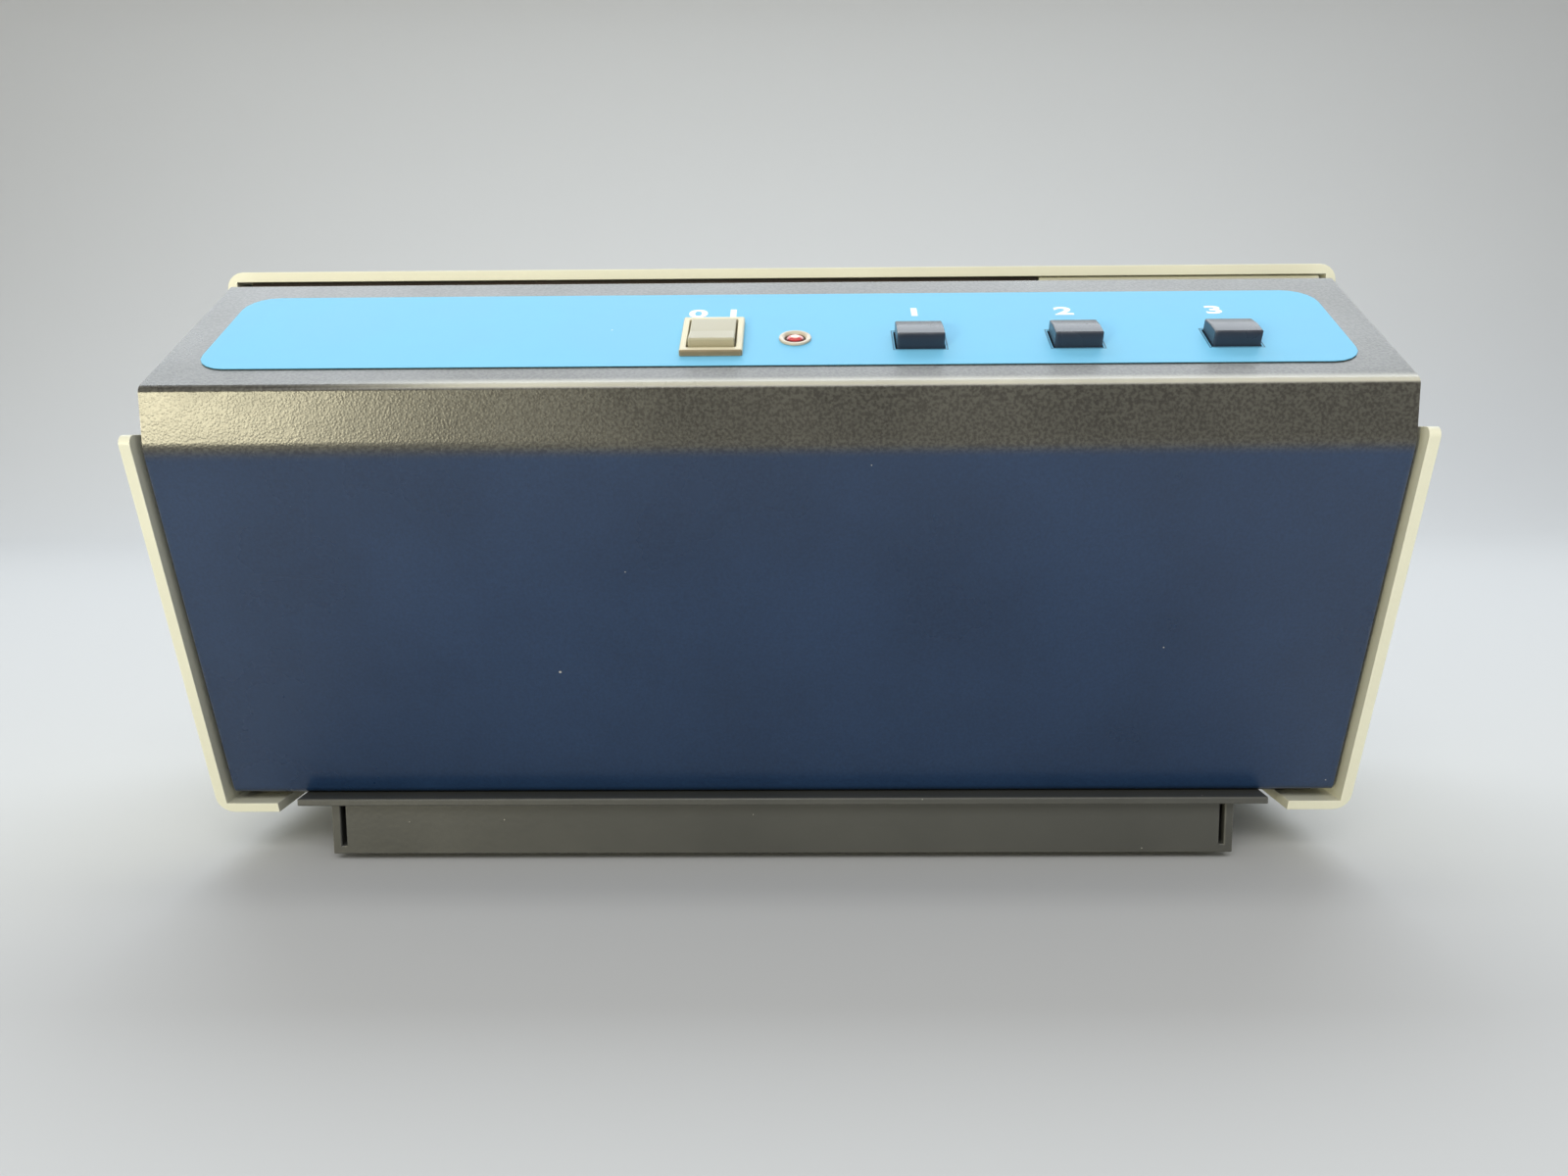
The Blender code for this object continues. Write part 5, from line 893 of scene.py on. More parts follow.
class Workshop:
    """Turns shapes into pieces, paints them and puts them on their bodies."""

    def __init__(self, painter: Painter) -> None:
        """Keep the painter and an empty list of what was dressed."""
        self.painter = painter
        self.dressed: set[str] = set()

    @staticmethod
    def _loose(name: str, points: Array, faces: list[list[int]]) -> bmesh.types.BMesh:
        """A bmesh of points and faces.

        Args:
            name: the piece's name.
            points: rows of x, y and z.
            faces: point numbers of each face.

        Returns:
            The bmesh.
        """
        mesh = bpy.data.meshes.new(f"{name}_raw")
        mesh.from_pydata(points.tolist(), [], faces)
        bm = bmesh.new()
        bm.from_mesh(mesh)
        bpy.data.meshes.remove(mesh)
        return bm

    @staticmethod
    def _finish_mesh(name: str, bm: bmesh.types.BMesh) -> bpy.types.Object:
        """Clean a bmesh, shade it smooth up to the sharp angle and give it an object at the origin.

        Args:
            name: the piece's name.
            bm: the bmesh, which is freed.

        Returns:
            The object.
        """
        bmesh.ops.remove_doubles(bm, verts=bm.verts, dist=SAME_PLACE)
        bmesh.ops.dissolve_degenerate(bm, edges=bm.edges, dist=SAME_PLACE)
        bmesh.ops.recalc_face_normals(bm, faces=bm.faces)
        mesh = bpy.data.meshes.new(name)
        bm.to_mesh(mesh)
        bm.free()
        mesh.shade_smooth()
        mesh.set_sharp_from_angle(angle=SHARP_ANGLE)
        return new_object(name, mesh)

    def _hand_over(self, piece: bpy.types.Object, finish: Finish, body: str,
                   nodes: tuple[str, ...]) -> None:
        """Paint a piece, put it on its body and say which nodes it stands for.

        Args:
            piece: the object.
            finish: how it is painted.
            body: the CAD body that it rides on.
            nodes: the CAD nodes that it stands for.
        """
        piece.data.materials.clear()
        piece.data.materials.append(self.painter.material(finish))
        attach(piece, body)
        if nodes:
            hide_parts(*nodes)
            self.dressed.update(nodes)
        LOG.info("%s rides on %s with %d faces", piece.name, body, len(piece.data.polygons))

    def piece(self, name: str, shape: Shape, finish: Finish, body: str = "chassis",
              nodes: tuple[str, ...] = ()) -> None:
        """Make a new piece from a shape.

        Args:
            name: the piece's name.
            shape: its points and faces in the object's frame.
            finish: how it is painted.
            body: the CAD body that it rides on.
            nodes: the CAD nodes that it stands for.
        """
        made = self._finish_mesh(name, self._loose(name, shape.points, shape.faces))
        self._hand_over(made, finish, body, nodes)

    def copy(self, name: str, node: str, edge: float, finish: Finish, body: str = "chassis",
             steps: int = 2, lowered: Point | None = None) -> None:
        """Make a piece from a CAD node: a merged copy of its triangles with rounded edges.

        Args:
            name: the piece's name.
            node: the CAD node that is copied and replaced.
            edge: width of the rounding on its sharp edges.
            finish: how it is painted.
            body: the CAD body that it rides on.
            steps: faces across a rounded edge.
            lowered: two heights, and how far the copy's points between them are lowered.
        """
        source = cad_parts[node].data
        points = coordinates(source)
        if lowered:
            low, high, drop = lowered
            height = points[:, 2]
            points[:, 2] = np.where((height > low) & (height < high), height - drop, height)
        corners = np.empty(len(source.loops), np.int32)
        source.loops.foreach_get("vertex_index", corners)
        bm = self._loose(name, points, corners.reshape(-1, 3).tolist())
        bmesh.ops.remove_doubles(bm, verts=bm.verts, dist=SAME_PLACE)
        bmesh.ops.dissolve_limit(bm, angle_limit=FLAT_ANGLE, verts=bm.verts, edges=bm.edges)
        wide = [face for face in bm.faces if len(face.verts) > 4]
        bmesh.ops.triangulate(bm, faces=wide, quad_method="BEAUTY", ngon_method="BEAUTY")
        made = self._finish_mesh(name, bm)
        bevel = made.modifiers.new("rounded", "BEVEL")
        bevel.width = edge
        bevel.segments = steps
        bevel.limit_method = "ANGLE"
        bevel.angle_limit = SHARP_ANGLE
        bevel.use_clamp_overlap = True
        made.modifiers.new("even", "WEIGHTED_NORMAL").keep_sharp = True
        self._settle(made)
        self._hand_over(made, finish, body, (node,))

    @staticmethod
    def _settle(piece: bpy.types.Object) -> None:
        """Apply a piece's modifiers.

        Args:
            piece: the object.
        """
        graph = bpy.context.evaluated_depsgraph_get()
        final = bpy.data.meshes.new_from_object(piece.evaluated_get(graph))
        piece.modifiers.clear()
        piece.data = final

    def dress(self, node: str, finish: Finish) -> None:
        """Paint a CAD node that stays.

        Args:
            node: the node's name.
            finish: how it is painted.
        """
        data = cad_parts[node].data
        data.materials.clear()
        data.materials.append(self.painter.material(finish))
        self.dressed.add(node)


@dataclass
class SubAssembly:
    """A group of pieces, and the workshop that makes them."""

    shop: Workshop


@dataclass
class Case(SubAssembly):
    """The folded cover, the cream shell, the plate, the pedestal, the feet and the slot's strip.

    crease is two heights on the cover, and how far its points between them are lowered. The strip's front
    swells in two waves. The lip's gaps are from the strip's end, and to the lip's own right end.
    """

    cover_edge: float = 0.0008
    crease: Point = (0.1155, 0.1192, 0.0018)
    shell_edge: float = 0.0010
    sheet_edge: float = 0.00035
    strip_round: float = 0.0003
    strip_stations: int = 120
    swell: float = 0.00018
    swell_waves: Pair = (190.0, 73.0)
    lip_size: Pair = (0.0050, 0.0011)
    lip_round: float = 0.0004
    lip_end_round: float = 0.0003
    lip_gaps: Pair = (0.0008, 0.0026)
    lip_place: Pair = (-0.0267, 0.16075)
    foot_radius: float = 0.007
    foot_height: float = 0.0017
    foot_round: float = 0.0004
    foot_chamfer: float = 0.0005
    foot_hollow: float = 0.0035
    hollow_depth: float = 0.0006

    def build(self) -> None:
        """Make the case's pieces."""
        self.shop.copy("cover", "front_cover", self.cover_edge, COVER_PAINT, steps=3, lowered=self.crease)
        self.shop.copy("shell", "rear_shell", self.shell_edge, CREAM_PAINT, steps=3)
        self.shop.copy("stand_plate", "base_plate", self.sheet_edge, STEEL_PAINT)
        self.shop.copy("pedestal", "pedestal_tray", self.sheet_edge, STEEL_PAINT)
        self._seal()
        self._lip_return()
        for corner in ("front_left", "front_right", "rear_left", "rear_right"):
            self._foot(corner)

    def _seal(self) -> None:
        """The foam strip: a rounded bar whose front swells and sinks along its length."""
        low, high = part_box("gap_seal")
        size, middle = high - low, (low + high) / 2
        section = Outline.rectangle(size.y, size.z, self.strip_round, 4).inset(np.zeros(1))[0]
        x = np.linspace(-size.x / 2, size.x / 2, self.strip_stations)[:, None]
        first, second = self.swell_waves
        swell = self.swell * (1 + np.sin(x * first) * np.sin(x * second + 1))
        y = section[:, 0] + np.where(section[:, 0] < 0, swell, 0)
        rings = np.stack(np.broadcast_arrays(x, y, section[:, 1]), -1)
        self.shop.piece("slot_strip", Shape.lofted(rings).moved(*middle), SEAL_FOAM, nodes=("gap_seal",))

    def _lip_return(self) -> None:
        """The shell's pale edge in the slot, from where the strip ends to the lip's right end."""
        low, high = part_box("gap_seal")
        after_strip, before_end = self.lip_gaps
        start, end = high.x + after_strip, before_end - low.x
        outline = Outline.rectangle(*self.lip_size, self.lip_round, 4)
        shape = Shape.rounded_prism(outline, (end - start) / 2, self.lip_end_round)
        self.shop.piece("lip_return", shape.moved((start + end) / 2, *self.lip_place), CREAM_PAINT)

    def _foot(self, corner: str) -> None:
        """One rubber foot: a low turned pad with a hollow in its underside.

        Args:
            corner: which foot.
        """
        low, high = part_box(f"foot_{corner}")
        middle = (low + high) / 2
        hollow, depth = self.foot_hollow, self.hollow_depth
        shape = Shape.turned(np.concatenate([
            [[0.0, depth], [hollow - depth, depth], [hollow, 0.0]],
            [[self.foot_radius - self.foot_chamfer, 0.0], [self.foot_radius, self.foot_chamfer]],
            rounding(self.foot_radius, self.foot_height, self.foot_round),
            [[0.0, self.foot_height]],
        ]))
        placed = shape.moved(middle.x, middle.y, low.z)
        self.shop.piece(f"rubber_foot_{corner}", placed, RUBBER, nodes=(f"foot_{corner}",))


@dataclass
class PowerSwitch(SubAssembly):
    """The power switch: its body with a raised frame, its terminals and its rocker.

    Outer sizes are along u and v, and heights are measured out of the panel. The rocker's side view runs
    along v: it is highest at its ends, and its foot is what is left of it down in the body.
    """

    rim: Pair = (0.0157, 0.0204)
    body: Pair = (0.0143, 0.0185)
    well: Pair = (0.0124, 0.0166)
    rim_corner: float = 0.0006
    body_corner: float = 0.0005
    bottom: float = -0.0160
    chamfer: float = 0.0006
    rim_side: float = 0.0002
    top: float = 0.0020
    outer_round: float = 0.0005
    inner_round: float = 0.00025
    well_floor: float = -0.0006
    blade: Pair = (0.0048, 0.0008)
    blade_heights: tuple[float, ...] = (-0.0158, -0.0160, -0.0235, -0.0240)
    blade_corner: float = 0.0002
    blade_shift: float = 0.0045
    rocker_half: float = 0.0076
    rocker_rise: float = 0.0044
    rocker_side: float = 0.0030
    rocker_foot: Pair = (0.0035, -0.0034)
    rocker_width: float = 0.0116
    rocker_round: float = 0.00035
    rocker_corners: tuple[float, ...] = (0.0005, 0.0008, 0.0005, 0.0005, 0.0008, 0.0005, 0.0006)
    facet: float = math.radians(6)
    tilt: float = -math.radians(5)
    pin_radius: float = 0.0010
    pin_half: float = 0.0070
    pivot_height: float = -0.0020

    def build(self) -> None:
        """Make the switch's pieces."""
        self._frame()
        self._terminals()
        self._rocker()

    def _frame(self) -> None:
        """The body and the raised frame, as one skin of stacked rounded rectangles.

        It runs from the body's underside up its walls, out under the frame, up and over the rounded
        frame, and down into the well.
        """
        rim = Outline.rectangle(*self.rim, self.rim_corner, 5)
        body, well = (Outline.rectangle(*size, self.body_corner, 5) for size in (self.body, self.well))
        seat, outer, inner = PANEL.seat, self.outer_round, self.inner_round
        bend = [(1 - math.cos(turn), 1 - math.sin(turn)) for turn in np.linspace(0, QUARTER_TURN, 5)]
        rings = [
            (body, self.chamfer, self.bottom), (body, 0.0, self.bottom + self.chamfer), (body, 0.0, seat),
            (rim, 0.0, seat), (rim, 0.0, seat + self.rim_side),
            *((rim, outer * near, self.top - outer * far) for near, far in bend),
            (rim, outer * 1.5, self.top),
            *((well, -inner * far, self.top - inner * near) for near, far in bend),
            (well, 0.0, self.well_floor + 0.0001), (well, 0.0, self.well_floor),
        ]
        shape = Shape.stacked(rings).on_panel(PANEL.switch)
        self.shop.piece("switch_frame", shape, FRAME_PLASTIC, nodes=("switch_housing",))

    def _terminals(self) -> None:
        """Two small blades under the body."""
        corner = self.blade_corner
        blade = Shape.bar(Outline.rectangle(*self.blade, corner, 2), self.blade_heights, corner)
        both = Shape.joined([blade.moved(y=v) for v in (-self.blade_shift, self.blade_shift)])
        self.shop.piece("switch_terminals", both.on_panel(PANEL.switch), BRASS)

    def _rocker(self) -> None:
        """The rocker: its side view with a crease between two facets, carried along X, at rest tilt."""
        end, (foot, under) = self.rocker_half, self.rocker_foot
        tip = self.rocker_rise + end * math.tan(self.facet)
        low = tip - self.rocker_side
        corners = (
            (-end, tip), (-end, low), (-foot, under), (foot, under), (end, low), (end, tip),
            (0.0, self.rocker_rise),
        )
        outline = Outline(corners, self.rocker_corners, 5)
        cap = Shape.rounded_prism(outline, self.rocker_width / 2, self.rocker_round)
        pin = Shape.rod(self.pin_radius, -self.pin_half, self.pin_half)
        shape = Shape.joined([cap, pin.at(pin.points[:, [2, 0, 1]])])
        x, y, z = shape.points.T
        cos, sin = math.cos(self.tilt), math.sin(self.tilt)
        tilted = shape.at(np.stack([x, y * cos - z * sin, y * sin + z * cos], -1))
        placed = tilted.on_panel(PANEL.switch, self.pivot_height)
        self.shop.piece("rocker_cap", placed, BEIGE_PLASTIC, "rocker", ("power_rocker",))


@dataclass
class Indicator(SubAssembly):
    """The indicator: a turned ring, a clear red dome in it and two leads under it.

    bore, barrel, rim and dome are radii. Heights are measured out of the panel, and the dish's rows are
    radii and how far they lie over the ring's top.
    """

    bore: float = 0.0027
    barrel: float = 0.0034
    rim: float = 0.0041
    ring_foot: float = -0.0075
    ring_top: float = 0.0010
    ring_round: float = 0.0003
    dish: tuple[Pair, ...] = ((0.0033, 0.0), (0.0030, -0.00015), (0.0027, -0.0005))
    dome: float = 0.0025
    dome_foot: float = -0.0068
    dome_chamfer: float = 0.0003
    dome_base: float = -0.00005
    dome_rise: float = 0.00125
    lead_width: float = 0.0006
    lead_corner: float = 0.0001
    lead_shift: float = 0.00127
    lead_ends: Pair = (-0.0132, -0.0066)

    def build(self) -> None:
        """Make the indicator's pieces."""
        centre, seat = PANEL.lamp, PANEL.seat
        ring = Shape.turned(np.concatenate([
            [[self.bore, self.ring_foot], [self.barrel, self.ring_foot], [self.barrel, seat]],
            [[self.rim, seat]],
            rounding(self.rim, self.ring_top, self.ring_round),
            [[radius, self.ring_top + rise] for radius, rise in self.dish],
        ]), loop=True)
        self.shop.piece("lamp_ring", ring.on_panel(centre), RING_PLASTIC, nodes=("led_bezel",))

        angle, foot, chamfer = np.linspace(0, QUARTER_TURN, 9), self.dome_foot, self.dome_chamfer
        dome = Shape.turned(np.concatenate([
            [[0.0, foot], [self.dome - chamfer, foot], [self.dome, foot + chamfer]],
            np.stack([self.dome * np.cos(angle), self.dome_base + self.dome_rise * np.sin(angle)], -1),
        ]), 40)
        self.shop.piece("lamp_dome", dome.on_panel(centre), RED_LENS, nodes=("led_lamp",))

        outline = Outline.rectangle(self.lead_width, self.lead_width, self.lead_corner, 2)
        lead = Shape.bar(outline, self.lead_ends)
        both = Shape.joined([lead.moved(x=u) for u in (-self.lead_shift, self.lead_shift)])
        self.shop.piece("lamp_leads", both.on_panel(centre), PLATED_STEEL)


@dataclass
class PushButton(SubAssembly):
    """One push button's cap at u: a block with a raised front, a flange and a stem.

    Sizes are along u and v, and heights are measured out of the panel.
    """

    number: int
    u: float
    half_depth: float = 0.0049
    width: float = 0.0119
    under: float = -0.0024
    back_top: float = 0.0034
    ridge: Pair = (0.0002, 0.0042)
    front_top: float = 0.0044
    corners: tuple[float, ...] = (0.0001, 0.0001, 0.0005, 0.0012, 0.0004)
    end_round: float = 0.00045
    flange: Pair = (0.0139, 0.0118)
    flange_corner: float = 0.0004
    flange_thickness: float = 0.0008
    stem_radius: float = 0.0016
    stem_ends: Pair = (-0.00915, -0.0030)

    def build(self) -> None:
        """Make the cap."""
        half, under = self.half_depth, self.under
        side_view = (
            (-half, under), (half, under), (half, self.back_top), self.ridge, (-half, self.front_top),
        )
        cap = Shape.rounded_prism(Outline(side_view, self.corners, 5), self.width / 2, self.end_round)
        outline = Outline.rectangle(*self.flange, self.flange_corner, 3)
        flange = Shape.bar(outline, (under - self.flange_thickness, under + 0.0001))
        shape = Shape.joined([cap, flange, Shape.rod(self.stem_radius, *self.stem_ends)])
        placed = shape.on_panel((self.u, PANEL.button[1]))
        number = self.number
        nodes = (f"button_cap_{number}",)
        self.shop.piece(f"cap_{number}", placed, BUTTON_PLASTIC, f"button_{number}", nodes)


@dataclass
class ControlPanel(SubAssembly):
    """The overlay with its plain numerals, and the controls that stand on it."""

    film_edge: float = 0.00008
    film_top: float = 0.00035
    mark_rise: float = 0.00003
    mark_height: float = 0.0050
    mark_foot: float = 0.0378
    mark_stretch: float = 1.5
    mark_weight: float = 0.03
    mark_extrusion: float = 0.001
    mark_shift: float = 0.0046

    def build(self) -> None:
        """Make the panel's pieces."""
        self.shop.copy("overlay", "panel_label", self.film_edge, OVERLAY_FILM, steps=1)
        switch_u, first_u = PANEL.switch[0], PANEL.button[0]
        self._mark("switch_mark_0", "0", switch_u - self.mark_shift)
        self._mark("switch_mark_1", "1", switch_u + self.mark_shift)
        PowerSwitch(self.shop).build()
        Indicator(self.shop).build()
        for number in (1, 2, 3):
            u = first_u + (number - 1) * PANEL.pitch
            PushButton(self.shop, number, u).build()
            self._mark(f"button_mark_{number}", str(number), u)

    def _mark(self, name: str, text: str, u: float) -> None:
        """A plain numeral printed on the overlay: flat text turned to a mesh, then placed on the panel.

        Args:
            name: the piece's name.
            text: the numeral.
            u: its middle on the panel.
        """
        curve = bpy.data.curves.new(name, "FONT")
        curve.body = text
        curve.align_x = "CENTER"
        curve.offset = self.mark_weight
        curve.extrude = self.mark_extrusion
        letter = new_object(f"{name}_text", curve)
        mesh = bpy.data.meshes.new_from_object(letter)
        points = coordinates(mesh).astype(float)
        faces = [list(face.vertices) for face in mesh.polygons]
        bpy.data.objects.remove(letter)
        bpy.data.meshes.remove(mesh)
        low, high = points.min(0), points.max(0)
        scale = self.mark_height / (high[1] - low[1])
        foot = np.array([(low[0] + high[0]) / 2, low[1]])
        flat = (points[:, :2] - foot) * np.array([scale * self.mark_stretch, scale])
        rise = np.where(points[:, 2] > 0, self.mark_rise, 0.0)
        shape = Shape(np.column_stack([flat, rise]), faces)
        self.shop.piece(name, shape.on_panel((u, self.mark_foot), self.film_top), MARK_INK)


@dataclass
class RearPanel(SubAssembly):
    """The mains inlet, the fuse holder and its knob, the data socket and the light-guide port.

    Heights in the profiles of (radius, height) are measured out of the rear wall.
    """

    shell_depth: float = 0.1768
    row: float = 0.0480
    inlet_x: float = 0.118
    fuse_x: float = 0.072
    data_x: float = -0.018
    port_x: float = -0.088
    port_height: float = 0.0453
    foot: float = 0.0003

    @property
    def wall(self) -> float:
        """The rear wall's y."""
        return self.shell_depth + PANEL.shift

    def build(self) -> None:
        """Make the rear wall's pieces."""
        self.shop.copy("inlet", "power_inlet", 0.0005, BLACK_PLASTIC)
        self._inlet_blades()
        self._fuse()
        self.shop.copy("data_shell", "data_socket", 0.0003, PLATED_STEEL)
        self._contacts()
        self._port()

    def _inlet_blades(self) -> None:
        """Three metal blades round the inlet's pins, with chamfered tips."""
        width, depth, corner, chamfer, start, length = 0.0022, 0.0042, 0.0003, 0.0007, -0.0132, 0.0121
        pitch, earth_rise = 0.007, 0.0035
        heights = (start - corner, start, start + length - chamfer, start + length)
        blade = Shape.bar(Outline.rectangle(width, depth, corner, 3), heights, chamfer)
        blades = [
            blade.facing_rear((self.inlet_x + x, self.wall, self.row + rise))
            for x, rise in ((-pitch, 0.0), (0.0, earth_rise), (pitch, 0.0))
        ]
        self.shop.piece("inlet_blades", Shape.joined(blades), PLATED_STEEL)

    def _fuse(self) -> None:
        """The fuse holder's turned body, and the knob's ribbed sleeve over the slotted cap."""
        place = (self.fuse_x, self.wall, self.row)
        bore, neck, barrel, flange, top = 0.0044, 0.0060, 0.0063, 0.0090, 0.0033
        profile = np.concatenate([
            [[bore, -0.022], [bore, -0.0235], [neck, -0.0240], [barrel, -0.0237]],
            [[barrel, self.foot], [flange, self.foot]],
            rounding(flange, top, 0.0006),
            [[0.0050, top], [bore, top - 0.0004]],
        ])
        body = Shape.turned(profile, loop=True).facing_rear(place)
        self.shop.piece("fuse_body", body, BLACK_PLASTIC, nodes=("fuse_holder",))
        self.shop.copy("fuse_knob_core", "fuse_cap", 0.00025, BLACK_PLASTIC, "fuse_knob")

        sleeve, inner, ribs, rib_height, around = 0.0072, 0.0069, 24, 0.00018, 144
        angle = np.linspace(0, FULL_TURN, around, endpoint=False)
        rib = rib_height * (1 + np.cos(angle * ribs)) / 2
        height = np.array([0.0040, 0.0043, 0.0095, 0.0099])[:, None]
        proud = np.array([-0.0001, 0.00008, 0.00008, -0.0001])[:, None]
        outside = circled(sleeve + proud + np.where(proud > 0, rib, 0), height, angle)
        rings = np.concatenate([outside, circled(inner, height[[-1, 0]], angle)])
        shape = Shape.lofted(rings, loop=True).facing_rear(place)
        self.shop.piece("fuse_knob_ribs", shape, BLACK_PLASTIC, "fuse_knob")

    def _contacts(self) -> None:
        """The data socket's dark insert with two rows of pins, and its two threaded posts."""
        top, half, wide, narrow = 0.0018, 0.0041, 0.0116, 0.0104
        corners = ((-wide, half), (-narrow, -half), (narrow, -half), (wide, half))
        heights = (top - 0.0002, top + 0.0016, top + 0.0019)
        insert = Shape.bar(Outline(corners, (0.0008,) * 4, 4), heights, 0.0003)
        insert = insert.scaled(y=-1.0).facing_rear((self.data_x, self.wall, self.row))
        self.shop.piece("data_insert", insert, BLACK_PLASTIC)

        radius, tip, length, chamfer, pitch, row_shift = 0.0004, 0.0002, 0.0047, 0.0005, 0.0027, 0.0014
        profile = [[0.0, 0.0], [radius, 0.0], [radius, length - chamfer], [tip, length], [0.0, length]]
        pin, depth = Shape.turned(np.array(profile), 10), self.wall + top + 0.0004
        pins = [
            pin.facing_rear((self.data_x + (index - (count - 1) / 2) * pitch, depth, self.row + rise))
            for count, rise in ((8, row_shift), (7, -row_shift)) for index in range(count)
        ]
        self.shop.piece("data_pins", Shape.joined(pins), BRASS)

        post_shift, across, end = 0.0160, 0.0026, 0.0023
        profile = [[across, top - 0.0002], [across, top + 0.0030], [end, top + 0.0034]]
        post = Shape.turned(np.array(profile), 6)
        posts = [post.facing_rear((self.data_x + x, self.wall, self.row)) for x in (-post_shift, post_shift)]
        self.shop.piece("data_posts", Shape.joined(posts), PLATED_STEEL)

    def _port(self) -> None:
        """The brass port: a flange, a threaded nose as rings of crest and root, and the bore."""
        bore, crest, root, flange, top, end = 0.0036, 0.0060, 0.00565, 0.0110, 0.0033, 0.0100
        first, half_pitch, chamfer = 0.0040, 0.0003, 0.0004
        step = np.arange(18)
        shape = Shape.turned(np.concatenate([
            [[bore, -0.0185], [crest, -0.0185], [crest, self.foot], [flange - 0.0003, self.foot]],
            [[flange, 2 * self.foot]],
            rounding(flange, top, chamfer),
            [[crest, top]],
            np.stack([np.where(step % 2, root, crest), first + step * half_pitch], 1),
            rounding(0.0058, end, chamfer),
            [[bore + chamfer, end], [bore, end - chamfer]],
        ]), 60, loop=True)
        place = (self.port_x, self.wall, self.port_height)
        self.shop.piece("light_port", shape.facing_rear(place), BRASS, nodes=("fibre_port",))


@dataclass
class Screws(SubAssembly):
    """Pan-head screws with a cross recess: under the case, and inside it.

    The recess has a depth, a half width, a reach and two slopes, at the arms' sides and at their ends.
    """

    head_radius: float = 0.0030
    head_height: float = 0.0020
    head_fall: float = 0.35
    shank_radius: float = 0.0015
    shank_chamfer: float = 0.0005
    recess_depth: float = 0.0009
    recess_half: float = 0.00042
    recess_reach: float = 0.00155
    recess_slopes: Pair = (0.00014, 0.0003)
    under: tuple[str, ...] = (
        "base_screw_1", "base_screw_2", "base_screw_3", "base_screw_4", "cover_screw_left",
        "cover_screw_right",
    )
    upright: tuple[str, ...] = (
        "tray_screw_left", "tray_screw_right", "transformer_screw_left", "transformer_screw_right",
    )

    def build(self) -> None:
        """Make each screw where its node is."""
        for node in self.under + self.upright:
            low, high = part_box(node)
            middle = (low + high) / 2
            shape = self._screw(high.z - low.z - self.head_height)
            if node in self.upright:
                shape = shape.moved(middle.x, middle.y, high.z - self.head_height)
            else:
                shape = shape.scaled(y=-1.0, z=-1.0).moved(middle.x, middle.y, low.z + self.head_height)
            self.shop.piece(f"{node}_cross", shape, PLATED_STEEL, nodes=(node,))

    def _screw(self, shank: float) -> Shape:
        """A screw about Z with its head up.

        The head is a dome, height h (1 - fall (r / R) squared). The recess sinks where the smaller of
        |x| and |y| is under its half width, and fades out towards its arms' ends.

        Args:
            shank: length below the head.

        Returns:
            The closed solid.
        """
        angle = np.linspace(0, FULL_TURN, 64, endpoint=False)
        share = np.concatenate([np.linspace(0, 0.62, 15), [0.8, 0.93, 1.0]])[:, None]
        radius = self.head_radius * share
        x, y = abs(radius * np.cos(angle)), abs(radius * np.sin(angle))
        at_side, at_end = self.recess_slopes
        narrow = np.clip((self.recess_half - np.minimum(x, y)) / at_side, 0, 1)
        reach = np.clip((self.recess_reach - np.maximum(x, y)) / at_end, 0, 1)
        dome = self.head_height * (1 - self.head_fall * share**2)
        top = circled(radius, dome - self.recess_depth * narrow * reach, angle)
        side = self.shank_radius
        rows = np.array([
            (self.head_radius, 0.0), (side, 0.0), (side, -shank + self.shank_chamfer),
            (side * 0.6, -shank), (0.0, -shank),
        ])
        return Shape.lofted(np.concatenate([top, circled(rows[:, :1], rows[:, 1:], angle)]), caps=False)


@dataclass
class Interior(SubAssembly):
    """What the case holds: CAD nodes that keep their shape and get their finishes."""

    finishes: dict[str, Finish] = field(default_factory=lambda: {
        "button_switch": BLACK_PLASTIC, "return_spring": PLATED_STEEL, "control_board_screw": PLATED_STEEL,
        "control_board": LAMINATE, "main_board": LAMINATE, "board_post": PLATED_STEEL,
        "ribbon_cable": RIBBON_SHEATH, "transformer_core": CORE_STEEL, "transformer_coil": COIL_WINDING,
        "optics_block": BLACK_ALLOY, "emission_filter": GREEN_GLASS, "excitation_filter": BLUE_GLASS,
        "condenser_lens": CLEAR_GLASS, "detector": GREY_ALLOY, "lamp_holder": GREY_ALLOY,
        "lamp_bulb": CLEAR_GLASS, "fuse": CLEAR_GLASS,
    })

    def build(self) -> None:
        """Dress every node that no piece stands for: the longest matching name wins."""
        for node in sorted(set(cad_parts) - self.shop.dressed):
            match = max((key for key in self.finishes if node.startswith(key)), key=len)
            self.shop.dress(node, self.finishes[match])
            LOG.info("%s keeps its shape, in %s", node, self.finishes[match].name)


@dataclass
class SoftLight:
    """One soft lamp: where it stands, what it faces, its size in metres, its power and its colour."""

    name: str
    place: Point
    target: Point
    size: Pair
    power: float
    colour: Point


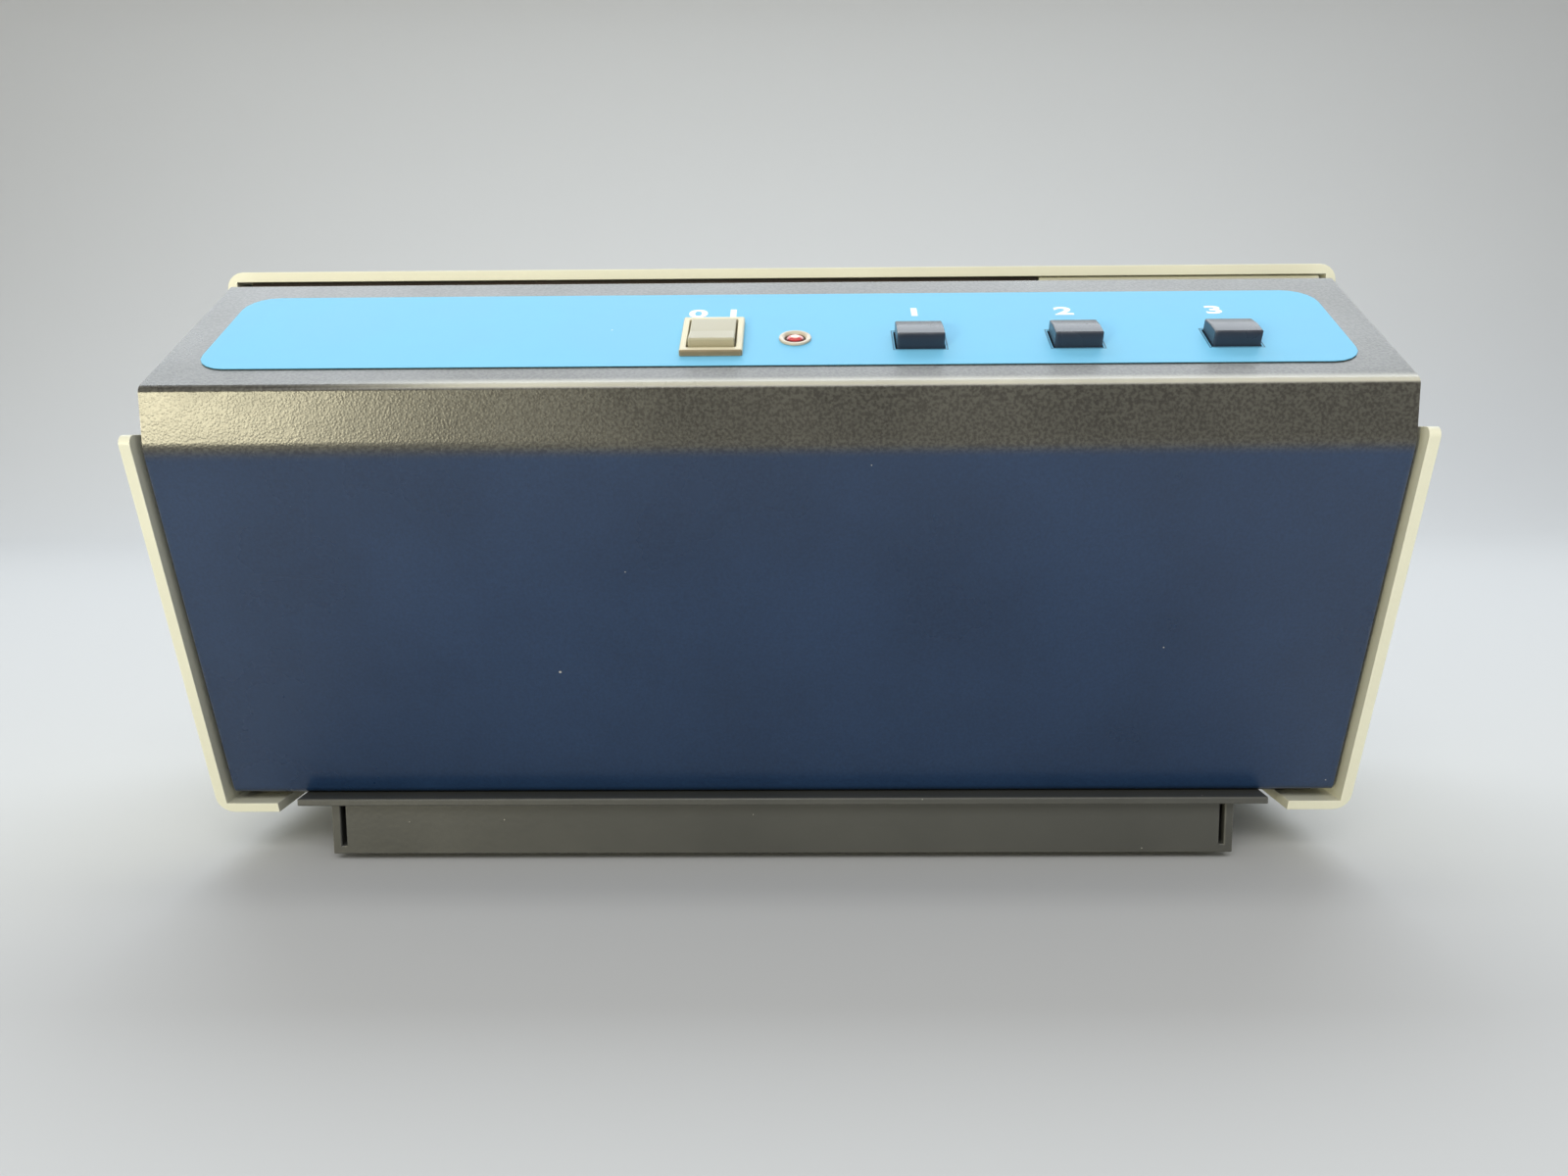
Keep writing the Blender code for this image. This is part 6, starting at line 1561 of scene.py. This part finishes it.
@dataclass
class Studio:
    """The camera of the photograph, soft lamps, a plain world and a pale sweep of floor."""

    place: Point = (0.00607, -0.39938, 0.12082)
    yaw: float = -0.01375
    pitch: float = 0.12885
    roll: float = -0.006578
    lens: float = 29.25
    sensor: float = 36.0
    world: float = 0.33
    floor_tint: Point = (0.64, 0.65, 0.66)
    lamps: tuple[SoftLight, ...] = (
        SoftLight("overhead_rear", (0.0, 0.85, 1.25), (0.0, 0.0, 0.15), (2.1, 0.9), 19.5, (0.89, 0.955, 1.0)),
        SoftLight("overhead", (0.0, -0.15, 1.35), (0.0, -0.1, 0.1), (1.8, 0.2), 2.5, (1.0, 0.99, 0.93)),
        SoftLight(
            "warm_left", (-0.82, -1.43, 0.14), (-0.12, -0.09, 0.12), (0.35, 0.3), 10.5, (1.0, 0.92, 0.62),
        ),
        SoftLight("front_high", (0.0, -1.6, 1.3), (0.0, 0.0, 0.1), (1.6, 0.8), 17.0, (1.0, 0.99, 0.96)),
    )

    def build(self) -> None:
        """Set up the camera, the lamps, the world and the floor."""
        bpy.context.scene.view_settings.view_transform = "Standard"
        self._camera()
        self._world()
        for lamp in self.lamps:
            self._lamp(lamp)
        self._floor()

    def _camera(self) -> None:
        """The camera: forward from yaw and pitch, then rolled about its own axis."""
        data = bpy.data.cameras.new("photo_camera")
        data.lens, data.sensor_width, data.sensor_fit = self.lens, self.sensor, "HORIZONTAL"
        data.clip_start, data.clip_end = 0.01, 50.0
        camera = new_object("photo_camera", data)
        forward = Vector((
            math.sin(self.yaw) * math.cos(self.pitch),
            math.cos(self.yaw) * math.cos(self.pitch),
            -math.sin(self.pitch),
        ))
        right = Vector((math.cos(self.yaw), -math.sin(self.yaw), 0.0))
        up = right.cross(forward)
        cos, sin = math.cos(self.roll), math.sin(self.roll)
        rolled_right, rolled_up = right * cos + up * sin, up * cos - right * sin
        turned = Matrix((rolled_right, rolled_up, -forward)).transposed().to_4x4()
        camera.matrix_world = Matrix.Translation(self.place) @ turned
        bpy.context.scene.camera = camera

    def _world(self) -> None:
        """A plain pale world of one strength."""
        world = bpy.data.worlds.new("studio_world")
        world.use_nodes = True
        background = world.node_tree.nodes["Background"]
        background.inputs["Color"].default_value = (1.0, 1.0, 1.0, 1.0)
        background.inputs["Strength"].default_value = self.world
        bpy.context.scene.world = world

    @staticmethod
    def _lamp(lamp: SoftLight) -> None:
        """One rectangular soft lamp that faces its target.

        Args:
            lamp: the lamp to set up.
        """
        data = bpy.data.lights.new(lamp.name, "AREA")
        data.shape = "RECTANGLE"
        data.size, data.size_y = lamp.size
        data.energy = lamp.power
        data.color = lamp.colour
        made = new_object(lamp.name, data)
        made.location = lamp.place
        made.rotation_mode = "QUATERNION"
        made.rotation_quaternion = (Vector(lamp.target) - Vector(lamp.place)).to_track_quat("-Z", "Y")

    def _floor(self) -> None:
        """A sweep: flat floor, a quarter circle of 0.6 m and a low wall, as one profile carried along X."""
        front, start, radius, wall, half = -1.0, 0.9, 0.6, 1.3, 6.0
        angle = np.linspace(0, QUARTER_TURN, 24)
        y = np.concatenate([[-half, front], start + radius * np.sin(angle), [start + radius]])
        z = np.concatenate([[0.0, 0.0], radius * (1 - np.cos(angle)), [wall]])
        x = np.linspace(-half, half, 3)
        grid = np.stack(np.broadcast_arrays(x[None], y[:, None], z[:, None]), -1)
        index = np.arange(len(y) - 1)[:, None] * len(x) + np.arange(len(x) - 1)
        faces = np.stack([index, index + 1, index + len(x) + 1, index + len(x)], -1).reshape(-1, 4)
        mesh = bpy.data.meshes.new("floor_sweep")
        mesh.from_pydata(grid.reshape(-1, 3).tolist(), [], faces.tolist())
        mesh.shade_smooth()
        floor = new_object("floor_sweep", mesh)
        material = bpy.data.materials.new("floor_paper")
        material.use_nodes = True
        sheet = NodeSheet(material.node_tree)
        shader = sheet.tree.nodes["Principled BSDF"]
        shader.inputs["Base Color"].default_value = (*self.floor_tint, 1.0)
        shader.inputs["Roughness"].default_value = 0.9
        shader.inputs["Specular IOR Level"].default_value = 0.1
        mesh.materials.append(material)


def main() -> None:
    """Build the studio and every sub-assembly in order."""
    logging.basicConfig(level=logging.INFO, format="%(name)s: %(message)s")
    shop = Workshop(Painter())
    Studio().build()
    for part in (Case, ControlPanel, RearPanel, Screws, Interior):
        part(shop).build()


if __name__ == "__main__":
    main()
